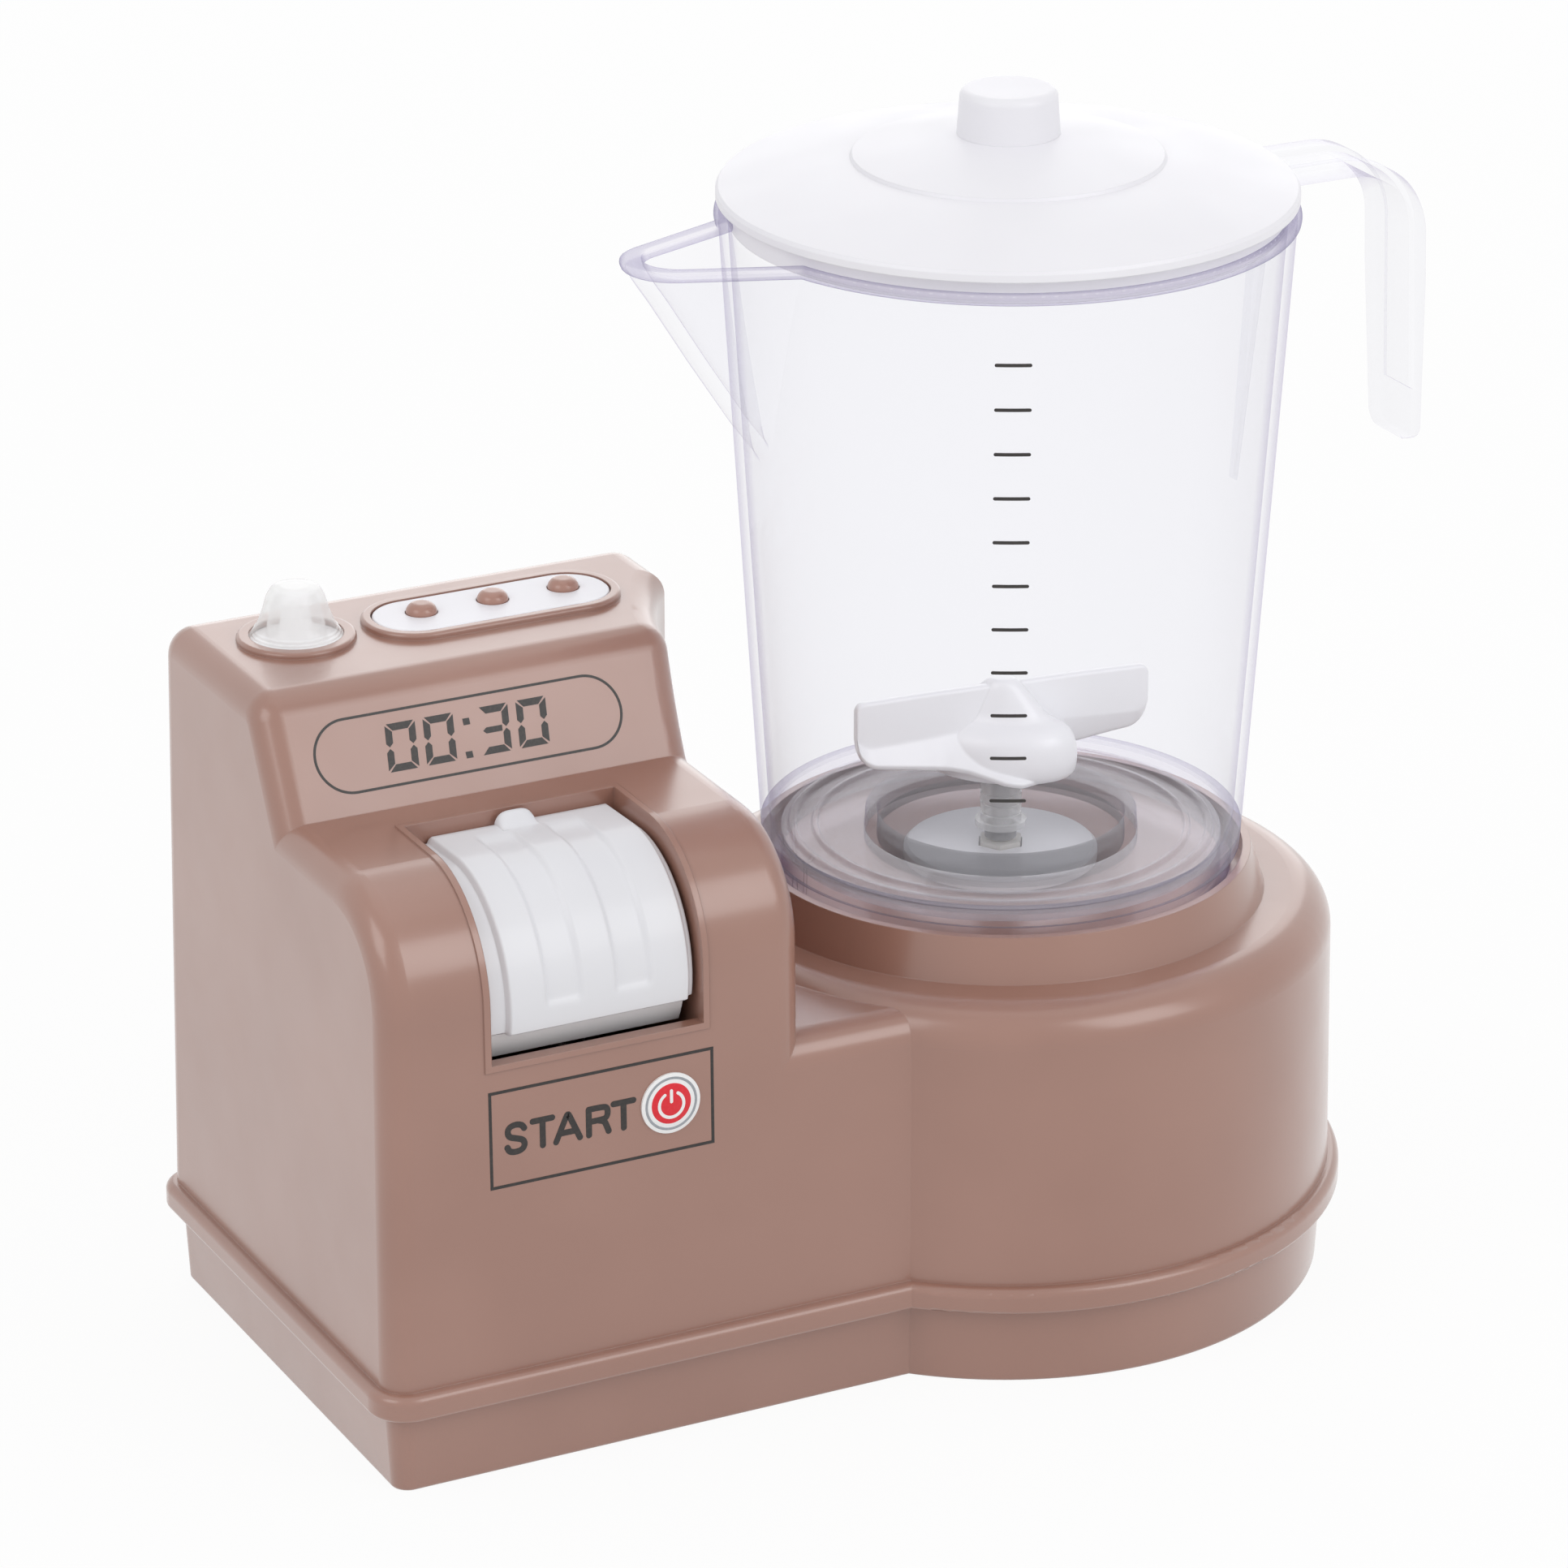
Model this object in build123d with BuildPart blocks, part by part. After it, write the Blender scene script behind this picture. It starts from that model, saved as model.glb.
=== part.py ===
from build123d import *
import os
from math import acos, atan2, cos, pi, radians, sin, sqrt, tan

# Toy blender, in millimetres. +Z is up and z = 0 is the surface that the base stands on.
# The origin is on the jug's axis. The control tower stands on the -X side, the lever and
# the display face -Y, the spout points to -X and the handle to +X.

os.makedirs("parts", exist_ok=True)

# ---------------------------------------------------------------- driving dimensions
# housing
wall = 2.0                     # moulded wall of the housing and the tray
draft = tan(radians(0.85))     # lean of the moulded side walls
drum_r = 55.0                  # round end of the base, at the flange
tower_reach = 73.2             # the tower's left face, beyond the drum
front_inset = 14.8             # the tower's front face, short of the drum's
back_inset = 4.4               # the tower's back face, short of the drum's
body_left = -(drum_r + tower_reach)
body_front = -(drum_r - front_inset)
body_back = drum_r - back_inset
edge_r = 4.5                   # rounded edges of the tower
tray_h = 13.5                  # the tray, up to the parting line
tray_foot_r = 0.6              # rounding of the tray's lower edge
tray_foot_inset = 1.6          # the tray stands in from the housing by this at its foot
tray_top_inset = 0.9
tray_lip_h = 2.5               # the tray's lip, up inside the housing
fit_gap = 0.2                  # clearance of a moulded fit
tight_gap = 0.01               # clearance of a press fit
running_gap = 0.06             # clearance of a shaft in its bore
flange_h = 4.3                 # band round the housing's foot
flange_out = 1.9
deck_z = 65.0                  # top of the drum
bridge_z = deck_z - 1.4        # step between the tower and the drum
bridge_edge_r = 5.0
drum_edge_r = 6.5
jug_clear = 1.0                # the tower is hollowed round the drum, clear by this
rear_corner = 11.8             # reach of the tower's back corner into that hollow
jug_clear_r = drum_r + jug_clear
tower_rear_right = -(jug_clear_r - rear_corner)
tower_top_z = 115.6
brow_r = 6.0                   # rounding between the display panel and the tower's top
back_top_r = 5.0               # rounding between the tower's top and its back
shelf_z = tower_top_z - 17.8   # top of the hood, in front of the display panel
hood_r = 18.7                  # the hood's big front curve
shelf_depth = 40.2             # from the front face back to the display panel
panel_foot_y = body_front + shelf_depth
panel_lean = tan(radians(30.0))
# collar that seats the jug
collar_bore_r = 39.6
collar_top_r = collar_bore_r + 1.4
collar_foot_r = collar_bore_r + 3.8
collar_top_z = deck_z + 7.2
collar_floor_z = deck_z + 4.0
# lever in the hood
lever_x = body_left + 36.4
lever_y = body_front + 20.8
lever_z = shelf_z - 20.5
lever_r = 19.1                 # outside of the white cover
cover_step = 1.1               # its side strips lie this much lower
cover_t = 2.2
cover_rear_drop = 0.4          # fall of the cover's flat top towards its rear edge
cover_rear_gap = 0.35          # clearance between that edge and the slot's rear wall
cover_half = 17.4
cover_band_half = 15.4
cover_low = -12.0              # degrees above the forward horizontal, lower edge
track_off = 5.9                # the two sunk tracks, from the lever's middle
track_w = 5.9
track_depth = 0.7
track_low = 0.0                # degrees
tab_w = 6.8                    # finger tab at the back edge of the cover
tab_off = -1.05
tab_t = 3.0
tab_rise = 3.9
tab_corner = 3.0
rocker_half = 16.4
rocker_t = 1.6
rocker_low = -30.0
rocker_high = 168.0
slot_half = 18.0
slot_back_y = body_front + 32.0
slot_bottom_z = lever_z - 7.3
slot_lip = 1.1
slot_lip_rise = 0.3
slot_wall = 1.6                # walls of the well that the slot opens into
slot_rear_depth = 5.8
pin_r = 1.5
pin_boss_r = 3.2
spring_r = 2.4
spring_wire_r = 0.4
spring_turns = 6
spring_y = lever_y - 9.0
ledge_z = lever_z - 20.3       # shelf inside the front wall, below the lever
ledge_t = 2.0
# button plate, buttons and lamp on the tower's top
plate_from_left = 51.3
plate_x = body_left + plate_from_left
plate_y = body_back - 20.0
plate_l = 40.4
plate_w = 14.4
plate_corner = 6.9
plate_t = 2.0
plate_seat = 1.0               # depth of the seat in the tower's top
rim_w = 1.6
rim_rise = 1.1
button_pitch = 12.5
button_x = plate_x + 0.7
button_y = plate_y + 1.0
button_r = 2.55
button_rise = 1.6
button_gap = 0.12
button_flange_r = 3.8
button_flange_t = 1.2
lamp_x = body_left + 18.0
lamp_y = body_back - 18.5
lamp_ring_r = 9.6
lamp_ring_rise = 1.0
lamp_foot_r = 7.4
lamp_h = 9.2                   # lens above the tower's top
lamp_t = 1.2
led_r = 2.5
# electronics
board_from_left = 41.2
board_x = body_left + board_from_left
board_y = plate_y + 0.4
board_l = 59.0
board_w = 26.0
board_t = 1.6
board_drop = 8.0               # the board's top below the underside of the tower's top
dome_r = 3.0
speaker_x = -(drum_r - 19.0)
speaker_r = 14.5
speaker_h = 6.0
# jug
jug_bottom_z = collar_floor_z + 3.9
jug_floor_t = 2.1
jug_wall = 1.5
jug_foot_r = 39.1
jug_rim_r = 46.0
jug_h = 109.4
jug_rim_z = jug_bottom_z + jug_h
rim_bead = 0.4
rim_bead_h = 1.9
spigot_r = collar_bore_r - 1.8
spigot_t = 1.8
seat_gap = 0.25                # jug above its seat, lid above the jug's rim
floor_ring_r = 20.4            # upright ring on the jug's floor, inside
floor_ring_t = 1.6
floor_ring_h = 3.0
ridge_r = 30.4                 # low ridge on the floor, outside the upright ring
ridge_w = 1.2
ridge_h = 0.7
spout_tip_x = -(jug_rim_r + 21.0)
spout_keel = 3.0               # thickness of the spout's keel
spout_drop = 39.8              # from the rim down to the spout's point
handle_w = 16.0
handle_foot_w = 13.0
handle_t = 2.3
handle_top_z = jug_rim_z - 1.1
handle_out_x = jug_rim_r + 27.3  # outer face of the grip, at the top
handle_lean = 0.032
handle_bend_r = 14.0
handle_drop = 49.7
handle_low_z = handle_top_z - handle_drop
groove_w = 7.6                 # channel along the handle's outer face
groove_depth = 0.8
groove_low_z = handle_low_z + 8.5
wall_rib_w = 2.4               # rib on the jug's wall, below the handle
wall_rib_out = 3.4
wall_rib_low_z = handle_low_z - 3.5
# lid
lid_r = jug_rim_r + 0.2
lid_rim_h = 1.75               # height of the lid's edge over its underside
lid_crown = 4.4                # rise of the dome from its edge to the disc
lid_disc_r = 25.0
lid_disc_step = 0.6
lid_disc_rise = 3.9            # the disc goes on rising to the knob's foot
lid_t = 1.6
lid_skirt_h = 4.0
knob_r = 8.2
knob_h = 7.3
# impeller and its drive
impeller_angle = -10.5
impeller_r = 24.8
hub_r = 8.0
hub_low_z = jug_bottom_z + 10.9
hub_skirt_h = 6.6              # upright part of the hub
hub_h = 14.2                   # up to the top of its cone
hub_tip_r = 1.6
blade_top_z = hub_low_z + 15.6
blade_t = 1.8
blade_foot_h = 3.4             # height of the sloping foot along the blade's lower edge
blade_corner_r = 2.6
bush_r = 3.4
bush_stem_r = 2.6
shaft_r = 1.5
coupling_af = 7.0              # across the flats of the hexagon socket
coupling_play = 0.2            # on each flat
disc_r = 15.9
disc_low_z = collar_floor_z + 0.5
disc_t = 2.3
drive_hub_r = 7.0
drive_hub_low_z = deck_z - 6.5
drive_shaft_r = 2.0
# gear train
module = 0.6
wheel_teeth = 36
small_teeth = 12
pinion_teeth = 10
tooth_play = 0.07
gear_plate_z = deck_z - 19.0
gear_plate_t = 2.0
gear_plate_l = 54.0
gear_plate_w = 43.0
gear_plate_corner = 5.0
idler_wheel_t = 3.0
wheel_t = 3.9
gear_gap = 0.6
motor_r = 10.05
motor_flat = 7.55
motor_len = 25.0
motor_nose_r = 3.0
motor_shaft_r = 1.0
# fasteners
screw_r = 1.3
screw_head_r = 2.6
screw_head_t = 1.7
screw_len = 9.0
screw_hole_r = 1.6
boss_r = 3.4
well_r = 4.6
well_z = 9.0                   # shelf in the tray that the screw heads pull on
# battery bay
cell_r = 7.1
cell_len = 49.5
cell_nub = 1.0
cell_nub_r = 2.7
cell_pitch = 15.2
cell_z = 9.6
bay_x = body_left + 36.7
bay_half = 23.0
bay_front = body_front + 18.0
bay_back = bay_front + cell_len + cell_nub + 6.5
bay_wall = 1.6
door_ledge = 2.0
door_tab_w = 5.0

# ---------------------------------------------------------------- derived places
pilot_r = screw_r + tight_gap
UP = (Align.CENTER, Align.CENTER, Align.MIN)
skirt_z = tray_h + flange_h
top_under_z = tower_top_z - wall
seat_z = tower_top_z - plate_seat
plate_top_z = seat_z + plate_t
board_z = top_under_z - board_drop - board_t
board_top_z = board_z + board_t
disc_top_z = disc_low_z + disc_t
jug_floor_z = jug_bottom_z + jug_floor_t
jug_slope = (jug_rim_r - jug_foot_r) / (jug_rim_z - jug_bottom_z)
spout_low_z = jug_rim_z - spout_drop
lid_low_z = jug_rim_z + seat_gap
lid_skirt_r = jug_rim_r - jug_wall - 0.4
lid_edge_z = lid_low_z + lid_rim_h
lid_disc_z = lid_edge_z + lid_crown
knob_low_z = lid_disc_z + lid_disc_rise
knob_top_z = knob_low_z + knob_h
cover_rear_y = slot_back_y - cover_rear_gap
cover_rear_z = lever_z + lever_r - cover_rear_drop
bush_top_z = hub_low_z - 0.4
gear_plate_top = gear_plate_z + gear_plate_t
idler_z = gear_plate_top + 2 * gear_gap + 0.8
wheel_z = idler_z + idler_wheel_t + gear_gap
idler_x = -module * (wheel_teeth + small_teeth) / 2
motor_y = module * (wheel_teeth + pinion_teeth) / 2
rocker_r = lever_r - cover_t - tight_gap
ledge_top_z = ledge_z + ledge_t
screw_in = 8.2
housing_screws_at = [
    (body_left + screw_in, body_front + screw_in),
    (body_left + screw_in, body_back - screw_in),
    (12.0, -sqrt((drum_r - 9) ** 2 - 12.0**2)),
    (drum_r - 9, 0.0),
    (12.0, sqrt((drum_r - 9) ** 2 - 12.0**2)),
]
gear_screws_at = [(14.0, -12.0), (-29.0, -10.0), (-29.0, 21.0), (12.0, 20.0)]
board_screws_at = [(board_x - 12.0, board_y - 9.0), (board_x + 24.0, board_y + 9.0)]
buttons_at = [(button_x + k * button_pitch, button_y) for k in (-1, 0, 1)]
door_screw_at = (bay_x, bay_front - bay_wall - 4.4)
tongue = bay_front + door_ledge - door_screw_at[1]


# ---------------------------------------------------------------- shared shapes
def lean(z):
    """How far a moulded side wall leans in at height z."""
    return draft * (z - skirt_z)


def jug_r(z):
    """Outside radius of the jug at height z."""
    return jug_foot_r + jug_slope * (z - jug_bottom_z)


def footprint(inset):
    """Plan of the base: a box with rounded left corners, run into the round drum."""
    with BuildSketch() as plan:
        with Locations(((body_left + inset) / 2, (body_front + body_back) / 2)):
            Rectangle(-body_left - inset, body_back - body_front - 2 * inset)
        fillet(plan.vertices().group_by(Axis.X)[0], radius=edge_r - inset)
        Circle(drum_r - inset)
    return plan.sketch


def side_profile(inset, bottom):
    """Side view of the tower: front face, hood curve, shelf, leaning panel, top and back."""
    hood_z = shelf_z - hood_r
    hood_y = body_front + lean(hood_z) + hood_r
    radius = hood_r - inset
    foot_y = panel_foot_y + inset * (sqrt(1 + panel_lean**2) - panel_lean)
    brow_y = foot_y + panel_lean * (tower_top_z - shelf_z)
    with BuildSketch() as side:
        with BuildLine():
            Polyline(
                (hood_y - radius, hood_z),
                (body_front + inset + lean(bottom), bottom),
                (body_back - inset - lean(bottom), bottom),
                (body_back - inset - lean(tower_top_z), tower_top_z - inset),
                (brow_y, tower_top_z - inset),
                (foot_y, shelf_z - inset),
                (hood_y, shelf_z - inset),
            )
            CenterArc((hood_y, hood_z), radius, 90, 90)
        make_face()
        corners = side.vertices().group_by(Axis.Y)[-1].sort_by(Axis.X)
        fillet(corners[-1], radius=back_top_r - inset)
        corners = side.vertices().filter_by(lambda v: v.Y > tower_top_z - inset - 0.01)
        fillet(corners.sort_by(Axis.X)[0], radius=brow_r - inset)
    return side.sketch


def tower_form(inset, bottom):
    """The tower as a closed form: inset 0 is its outside, inset by the wall its hollow."""
    profile = side_profile(inset, bottom)
    with BuildPart() as form:
        with BuildSketch(Plane.YZ.offset(body_left - 1)):
            add(profile)
        extrude(amount=tower_rear_right - inset - body_left + 1)
        with BuildSketch(Plane.XZ.offset(-body_back - 5)):
            with BuildLine():
                Polyline(
                    (body_left + inset + lean(bottom), bottom),
                    (body_left + inset + lean(tower_top_z), tower_top_z),
                    (body_left - 5, tower_top_z),
                    (body_left - 5, bottom),
                    close=True,
                )
            make_face()
        extrude(amount=body_back - body_front + 10, mode=Mode.SUBTRACT)
        with BuildSketch(Plane.XY.offset(bottom - 1)):
            Circle(jug_clear_r + inset)
            with Locations(((-jug_clear_r - inset) / 2, (body_front - 5) / 2)):
                Rectangle(jug_clear_r + inset, 5 - body_front)
        extrude(amount=tower_top_z - bottom + 2, mode=Mode.SUBTRACT)
    return form.part


def bridge_form(inset, bottom):
    """The low box that joins the tower to the drum."""
    with BuildPart() as form:
        with BuildSketch(Plane.YZ.offset(-jug_clear_r - 10)):
            with BuildLine():
                Polyline(
                    (body_front + inset + lean(bottom), bottom),
                    (body_back - inset - lean(bottom), bottom),
                    (body_back - inset - lean(bridge_z), bridge_z - inset),
                    (body_front + inset + lean(bridge_z), bridge_z - inset),
                    close=True,
                )
            face = make_face()
            fillet(face.vertices().group_by(Axis.Y)[-1], radius=bridge_edge_r - inset)
        extrude(amount=jug_clear_r + 10)
    return form.part


def drum_form(inset, bottom):
    """The round drum, with its rolled top edge."""
    with BuildPart() as form:
        with BuildSketch(Plane.XZ):
            with BuildLine():
                Polyline(
                    (0, bottom),
                    (drum_r - inset - lean(bottom), bottom),
                    (drum_r - inset - lean(deck_z), deck_z - inset),
                    (0, deck_z - inset),
                    close=True,
                )
            face = make_face()
            corner = face.vertices().group_by(Axis.Y)[-1].sort_by(Axis.X)[-1]
            fillet(corner, radius=drum_edge_r - inset)
        revolve(axis=Axis.Z)
    return form.part


def lever_point(radius, angle):
    """Side-view point on the lever's circle: angle 0 is forward, 90 is up."""
    return (
        lever_y - radius * cos(radians(angle)),
        lever_z + radius * sin(radians(angle)),
    )


def lever_sector(outer, inner, low, high):
    """Side-view sector ring about the lever's axis, between two angles."""
    middle = (low + high) / 2
    with BuildLine() as outline:
        rim = ThreePointArc(
            lever_point(outer, low), lever_point(outer, middle), lever_point(outer, high)
        )
        bore = ThreePointArc(
            lever_point(inner, low), lever_point(inner, middle), lever_point(inner, high)
        )
        Line(rim @ 0, bore @ 0)
        Line(rim @ 1, bore @ 1)
    return make_face(outline.edges(), mode=Mode.PRIVATE)


def cover_section(drop, depth, low=cover_low):
    """Side view of the cover between two depths: an arc that runs on level to the rear."""
    outer = lever_r - drop
    inner = lever_r - depth
    with BuildLine() as outline:
        rim = ThreePointArc(
            lever_point(outer, low), lever_point(outer, 45), lever_point(outer, 90)
        )
        bore = ThreePointArc(
            lever_point(inner, low), lever_point(inner, 45), lever_point(inner, 90)
        )
        Line(rim @ 0, bore @ 0)
        Polyline(
            rim @ 1,
            (cover_rear_y, cover_rear_z - drop),
            (cover_rear_y, cover_rear_z - depth),
            bore @ 1,
        )
    return make_face(outline.edges(), mode=Mode.PRIVATE)


def gear_face(teeth, addendum, phase):
    """Involute gear outline with straight roots. phase turns it, in degrees."""
    pitch_r = module * teeth / 2
    base_r = pitch_r * cos(radians(20))
    tip_r = pitch_r + addendum * module
    root_r = pitch_r - 1.2 * module
    half_tooth = pi / (2 * teeth) - tooth_play / pitch_r + tan(radians(20)) - radians(20)
    start_r = max(base_r, root_r)
    flank = []
    for step in range(3):
        r = start_r + (tip_r - start_r) * step / 2
        roll = acos(base_r / r)
        flank.append((r, half_tooth - tan(roll) + roll))
    if root_r < base_r:
        flank.insert(0, (root_r, flank[0][1]))
    points = []
    for tooth in range(teeth):
        middle = radians(phase) + 2 * pi * tooth / teeth
        points += [(r * cos(middle - s), r * sin(middle - s)) for r, s in flank]
        points += [(r * cos(middle + s), r * sin(middle + s)) for r, s in reversed(flank)]
    with BuildLine() as outline:
        Polyline(*points, close=True)
    return make_face(outline.edges(), mode=Mode.PRIVATE)


def screw_set(places, head_z, length):
    """Self-tapping screws, heads down: a head with a cross slot, and a shank."""
    with BuildPart() as screws:
        with Locations([(x, y, head_z - screw_head_t) for x, y in places]):
            Cylinder(screw_head_r, screw_head_t, align=UP)
            Box(2.8, 0.6, 0.9, align=UP, mode=Mode.SUBTRACT)
            Box(0.6, 2.8, 0.9, align=UP, mode=Mode.SUBTRACT)
        with Locations([(x, y, head_z) for x, y in places]):
            Cylinder(screw_r, length, align=UP)
    return screws.part


def spout_section(keel_x, tip_r, half, root_x):
    """Plan of the spout at one height: a round tip with sides that run back to the wall."""
    centre_x = keel_x + tip_r
    reach = sqrt((root_x - centre_x) ** 2 + half**2)
    angle = atan2(half, root_x - centre_x) + acos(tip_r / reach)
    touch = (centre_x + tip_r * cos(angle), tip_r * sin(angle))
    with BuildLine() as outline:
        ThreePointArc(touch, (keel_x, 0), (touch[0], -touch[1]))
        Polyline(
            (touch[0], -touch[1]),
            (root_x, -half),
            (root_x + 9, -half),
            (root_x + 9, half),
            (root_x, half),
            touch,
        )
    return make_face(outline.edges(), mode=Mode.PRIVATE)


def strap_strip(outer_off, inner_off, start_x, end_z):
    """Side view of a strip that follows the handle, between two depths from its outside."""
    centre_x = handle_out_x - handle_bend_r
    centre_z = handle_top_z - handle_bend_r
    drop = handle_lean * (centre_z - end_z)
    outer_r = handle_bend_r - outer_off
    inner_r = handle_bend_r - inner_off
    with BuildLine() as outline:
        Line((start_x, centre_z + outer_r), (centre_x, centre_z + outer_r))
        CenterArc((centre_x, centre_z), outer_r, 0, 90)
        Polyline(
            (centre_x + outer_r, centre_z),
            (centre_x + outer_r + drop, end_z),
            (centre_x + inner_r + drop, end_z),
            (centre_x + inner_r, centre_z),
        )
        CenterArc((centre_x, centre_z), inner_r, 0, 90)
        Polyline(
            (centre_x, centre_z + inner_r),
            (start_x, centre_z + inner_r),
            (start_x, centre_z + outer_r),
        )
    return make_face(outline.edges(), mode=Mode.PRIVATE)


# ---------------------------------------------------------------- housing
tower_outside = tower_form(0, tray_h)
with BuildPart() as tower:
    add(tower_outside)
    left_face = tower.faces().sort_by(Axis.X)[0]
    fillet([e for e in left_face.edges() if e.center().Z > skirt_z], radius=edge_r)
    right_walls = [e for e in tower.edges() if e.center().X > -jug_clear_r - 1]
    upright = ShapeList(right_walls).filter_by(Axis.Z)
    fillet([e for e in right_walls if e.center().Z > skirt_z and e not in upright], radius=edge_r)

# a thin band round the slot, on the hood's surface
band_profile = side_profile(-slot_lip_rise, skirt_z)
slot_h = shelf_z - slot_bottom_z
with BuildPart() as slot_band:
    with BuildSketch(Plane.YZ.offset(lever_x - slot_half - slot_lip)):
        add(band_profile)
    extrude(amount=2 * (slot_half + slot_lip))
    with BuildSketch(Plane.YZ.offset(lever_x - slot_half - slot_lip)):
        with Locations(((body_front + slot_back_y + slot_lip) / 2, slot_bottom_z + slot_h / 2)):
            Rectangle(slot_back_y + slot_lip - body_front, slot_h + 2 * slot_lip)
    extrude(amount=2 * (slot_half + slot_lip), mode=Mode.INTERSECT)

well_profile = side_profile(wall / 2, skirt_z)
tower_hollow = tower_form(wall, tray_h - 1)
bridge_outside = bridge_form(0, tray_h)
bridge_hollow = bridge_form(wall, tray_h - 1)
drum_outside = drum_form(0, tray_h)
drum_hollow = drum_form(wall, tray_h - 1)
plan_flange = footprint(-flange_out)
plan_hollow = footprint(wall)

with BuildPart() as upper_housing:
    # flange band, rolled top and bottom
    with BuildSketch(Plane.XY.offset(tray_h)):
        add(plan_flange)
    extrude(amount=flange_h)
    fillet(upper_housing.faces().sort_by(Axis.Z)[-1].edges(), radius=1.4)
    fillet(upper_housing.faces().sort_by(Axis.Z)[0].edges(), radius=0.8)
    add(bridge_outside)
    add(drum_outside)
    add(tower.part)
    add(slot_band.part)
    # raised rims round the lamp and the button plate
    with BuildSketch(Plane.XY.offset(tower_top_z - 1)):
        with Locations((lamp_x, lamp_y)):
            Circle(lamp_ring_r)
    extrude(amount=1 + lamp_ring_rise)
    with BuildSketch(Plane.XY.offset(tower_top_z - 1)):
        with Locations((plate_x, plate_y)):
            RectangleRounded(
                plate_l + 2 * fit_gap + 2 * rim_w,
                plate_w + 2 * fit_gap + 2 * rim_w,
                plate_corner + fit_gap + rim_w,
            )
    extrude(amount=1 + rim_rise)
    rims = [f for f in upper_housing.faces().filter_by(Axis.Z) if f.center().Z > tower_top_z]
    fillet([e for f in rims for e in f.edges()], radius=0.6)
    # hollow
    add(tower_hollow, mode=Mode.SUBTRACT)
    add(bridge_hollow, mode=Mode.SUBTRACT)
    add(drum_hollow, mode=Mode.SUBTRACT)
    with BuildSketch(Plane.XY.offset(tray_h)):
        add(plan_hollow)
    extrude(amount=flange_h, mode=Mode.SUBTRACT)
    # collar: a tapered ring with a sunk floor, and a guide for the drive hub
    with Locations((0, 0, deck_z - wall)):
        Cylinder(collar_bore_r - 1.6, 2 * wall, align=UP, mode=Mode.SUBTRACT)
    with BuildSketch(Plane.XZ):
        with BuildLine():
            Polyline(
                (drive_hub_r + running_gap, drive_hub_low_z + 1.5),
                (drive_hub_r + running_gap, collar_floor_z),
                (collar_bore_r, collar_floor_z),
                (collar_bore_r, collar_top_z),
                (collar_top_r, collar_top_z),
                (collar_foot_r, deck_z - 0.2),
                (collar_foot_r, deck_z - wall),
                (collar_bore_r - 2, deck_z - wall),
                (collar_bore_r - 2, collar_floor_z - wall),
                (drive_hub_r + 2, collar_floor_z - wall),
                (drive_hub_r + 2, drive_hub_low_z + 1.5),
                close=True,
            )
        make_face()
    revolve(axis=Axis.Z)
    # slot for the lever
    with BuildSketch(Plane.YZ.offset(lever_x - slot_half)):
        with Locations(((body_front + slot_back_y) / 2 - 2, (slot_bottom_z + shelf_z) / 2 + 1)):
            Rectangle(slot_back_y - body_front + 4, shelf_z - slot_bottom_z + 2)
    extrude(amount=2 * slot_half, mode=Mode.SUBTRACT)
    # walls of the well below the slot; the side walls carry the lever's pin
    for side in (-1, 1):
        wall_x = lever_x + side * (slot_half + slot_wall / 2)
        with BuildSketch(Plane.YZ.offset(wall_x - slot_wall / 2)):
            add(well_profile)
            with Locations(((body_front + slot_back_y) / 2, slot_bottom_z + slot_h / 2 - 5)):
                Rectangle(slot_back_y - body_front + 2 * slot_wall, slot_h + 8, mode=Mode.INTERSECT)
            with Locations((lever_y, lever_z)):
                Circle(pin_r + tight_gap, mode=Mode.SUBTRACT)
        extrude(amount=slot_wall)
    with Locations((lever_x, slot_back_y + slot_wall / 2, shelf_z - slot_rear_depth)):
        Box(2 * (slot_half + slot_wall), slot_wall, slot_rear_depth - 1, align=UP)
    # ledge for the lever's spring and switch, with two gussets
    with BuildSketch(Plane.YZ.offset(lever_x - 14)):
        with Locations(((body_front + wall + spring_y + 6) / 2, ledge_z + ledge_t / 2)):
            Rectangle(spring_y + 6 - body_front - wall + 1, ledge_t)
    extrude(amount=28)
    for side in (-1, 1):
        with BuildSketch(Plane.YZ.offset(lever_x + side * 11 - 0.8)):
            with BuildLine():
                Polyline(
                    (body_front + wall - 0.5, ledge_z + 0.5),
                    (body_front + wall + 10, ledge_z + 0.5),
                    (body_front + wall - 0.5, ledge_z - 10),
                    close=True,
                )
            make_face()
        extrude(amount=1.6)
    # seat of the button plate, and holes for the buttons
    with BuildSketch(Plane.XY.offset(seat_z)):
        with Locations((plate_x, plate_y)):
            RectangleRounded(plate_l + 2 * fit_gap, plate_w + 2 * fit_gap, plate_corner + fit_gap)
    extrude(amount=plate_seat + rim_rise + 1, mode=Mode.SUBTRACT)
    with Locations([(x, y, top_under_z - 1) for x, y in buttons_at]):
        Cylinder(button_r + button_gap, wall + 1, align=UP, mode=Mode.SUBTRACT)
    # seat of the lens, and the hole below it
    with Locations((lamp_x, lamp_y, tower_top_z)):
        Cylinder(lamp_foot_r + fit_gap, 4, align=UP, mode=Mode.SUBTRACT)
    with Locations((lamp_x, lamp_y, top_under_z - 1)):
        Cylinder(led_r + 2, wall + 2, align=UP, mode=Mode.SUBTRACT)
    # bosses of the circuit board
    with Locations([(x, y, board_top_z) for x, y in board_screws_at]):
        Cylinder(boss_r - 0.6, board_drop + 0.5, align=UP)
        Cylinder(pilot_r, board_drop - 1, align=UP, mode=Mode.SUBTRACT)
    # bosses of the gear plate, hung from the collar's floor
    with Locations([(x, y, gear_plate_top) for x, y in gear_screws_at]):
        Cylinder(boss_r, collar_floor_z - wall + 0.5 - gear_plate_top, align=UP)
        Cylinder(pilot_r, 9, align=UP, mode=Mode.SUBTRACT)
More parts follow.
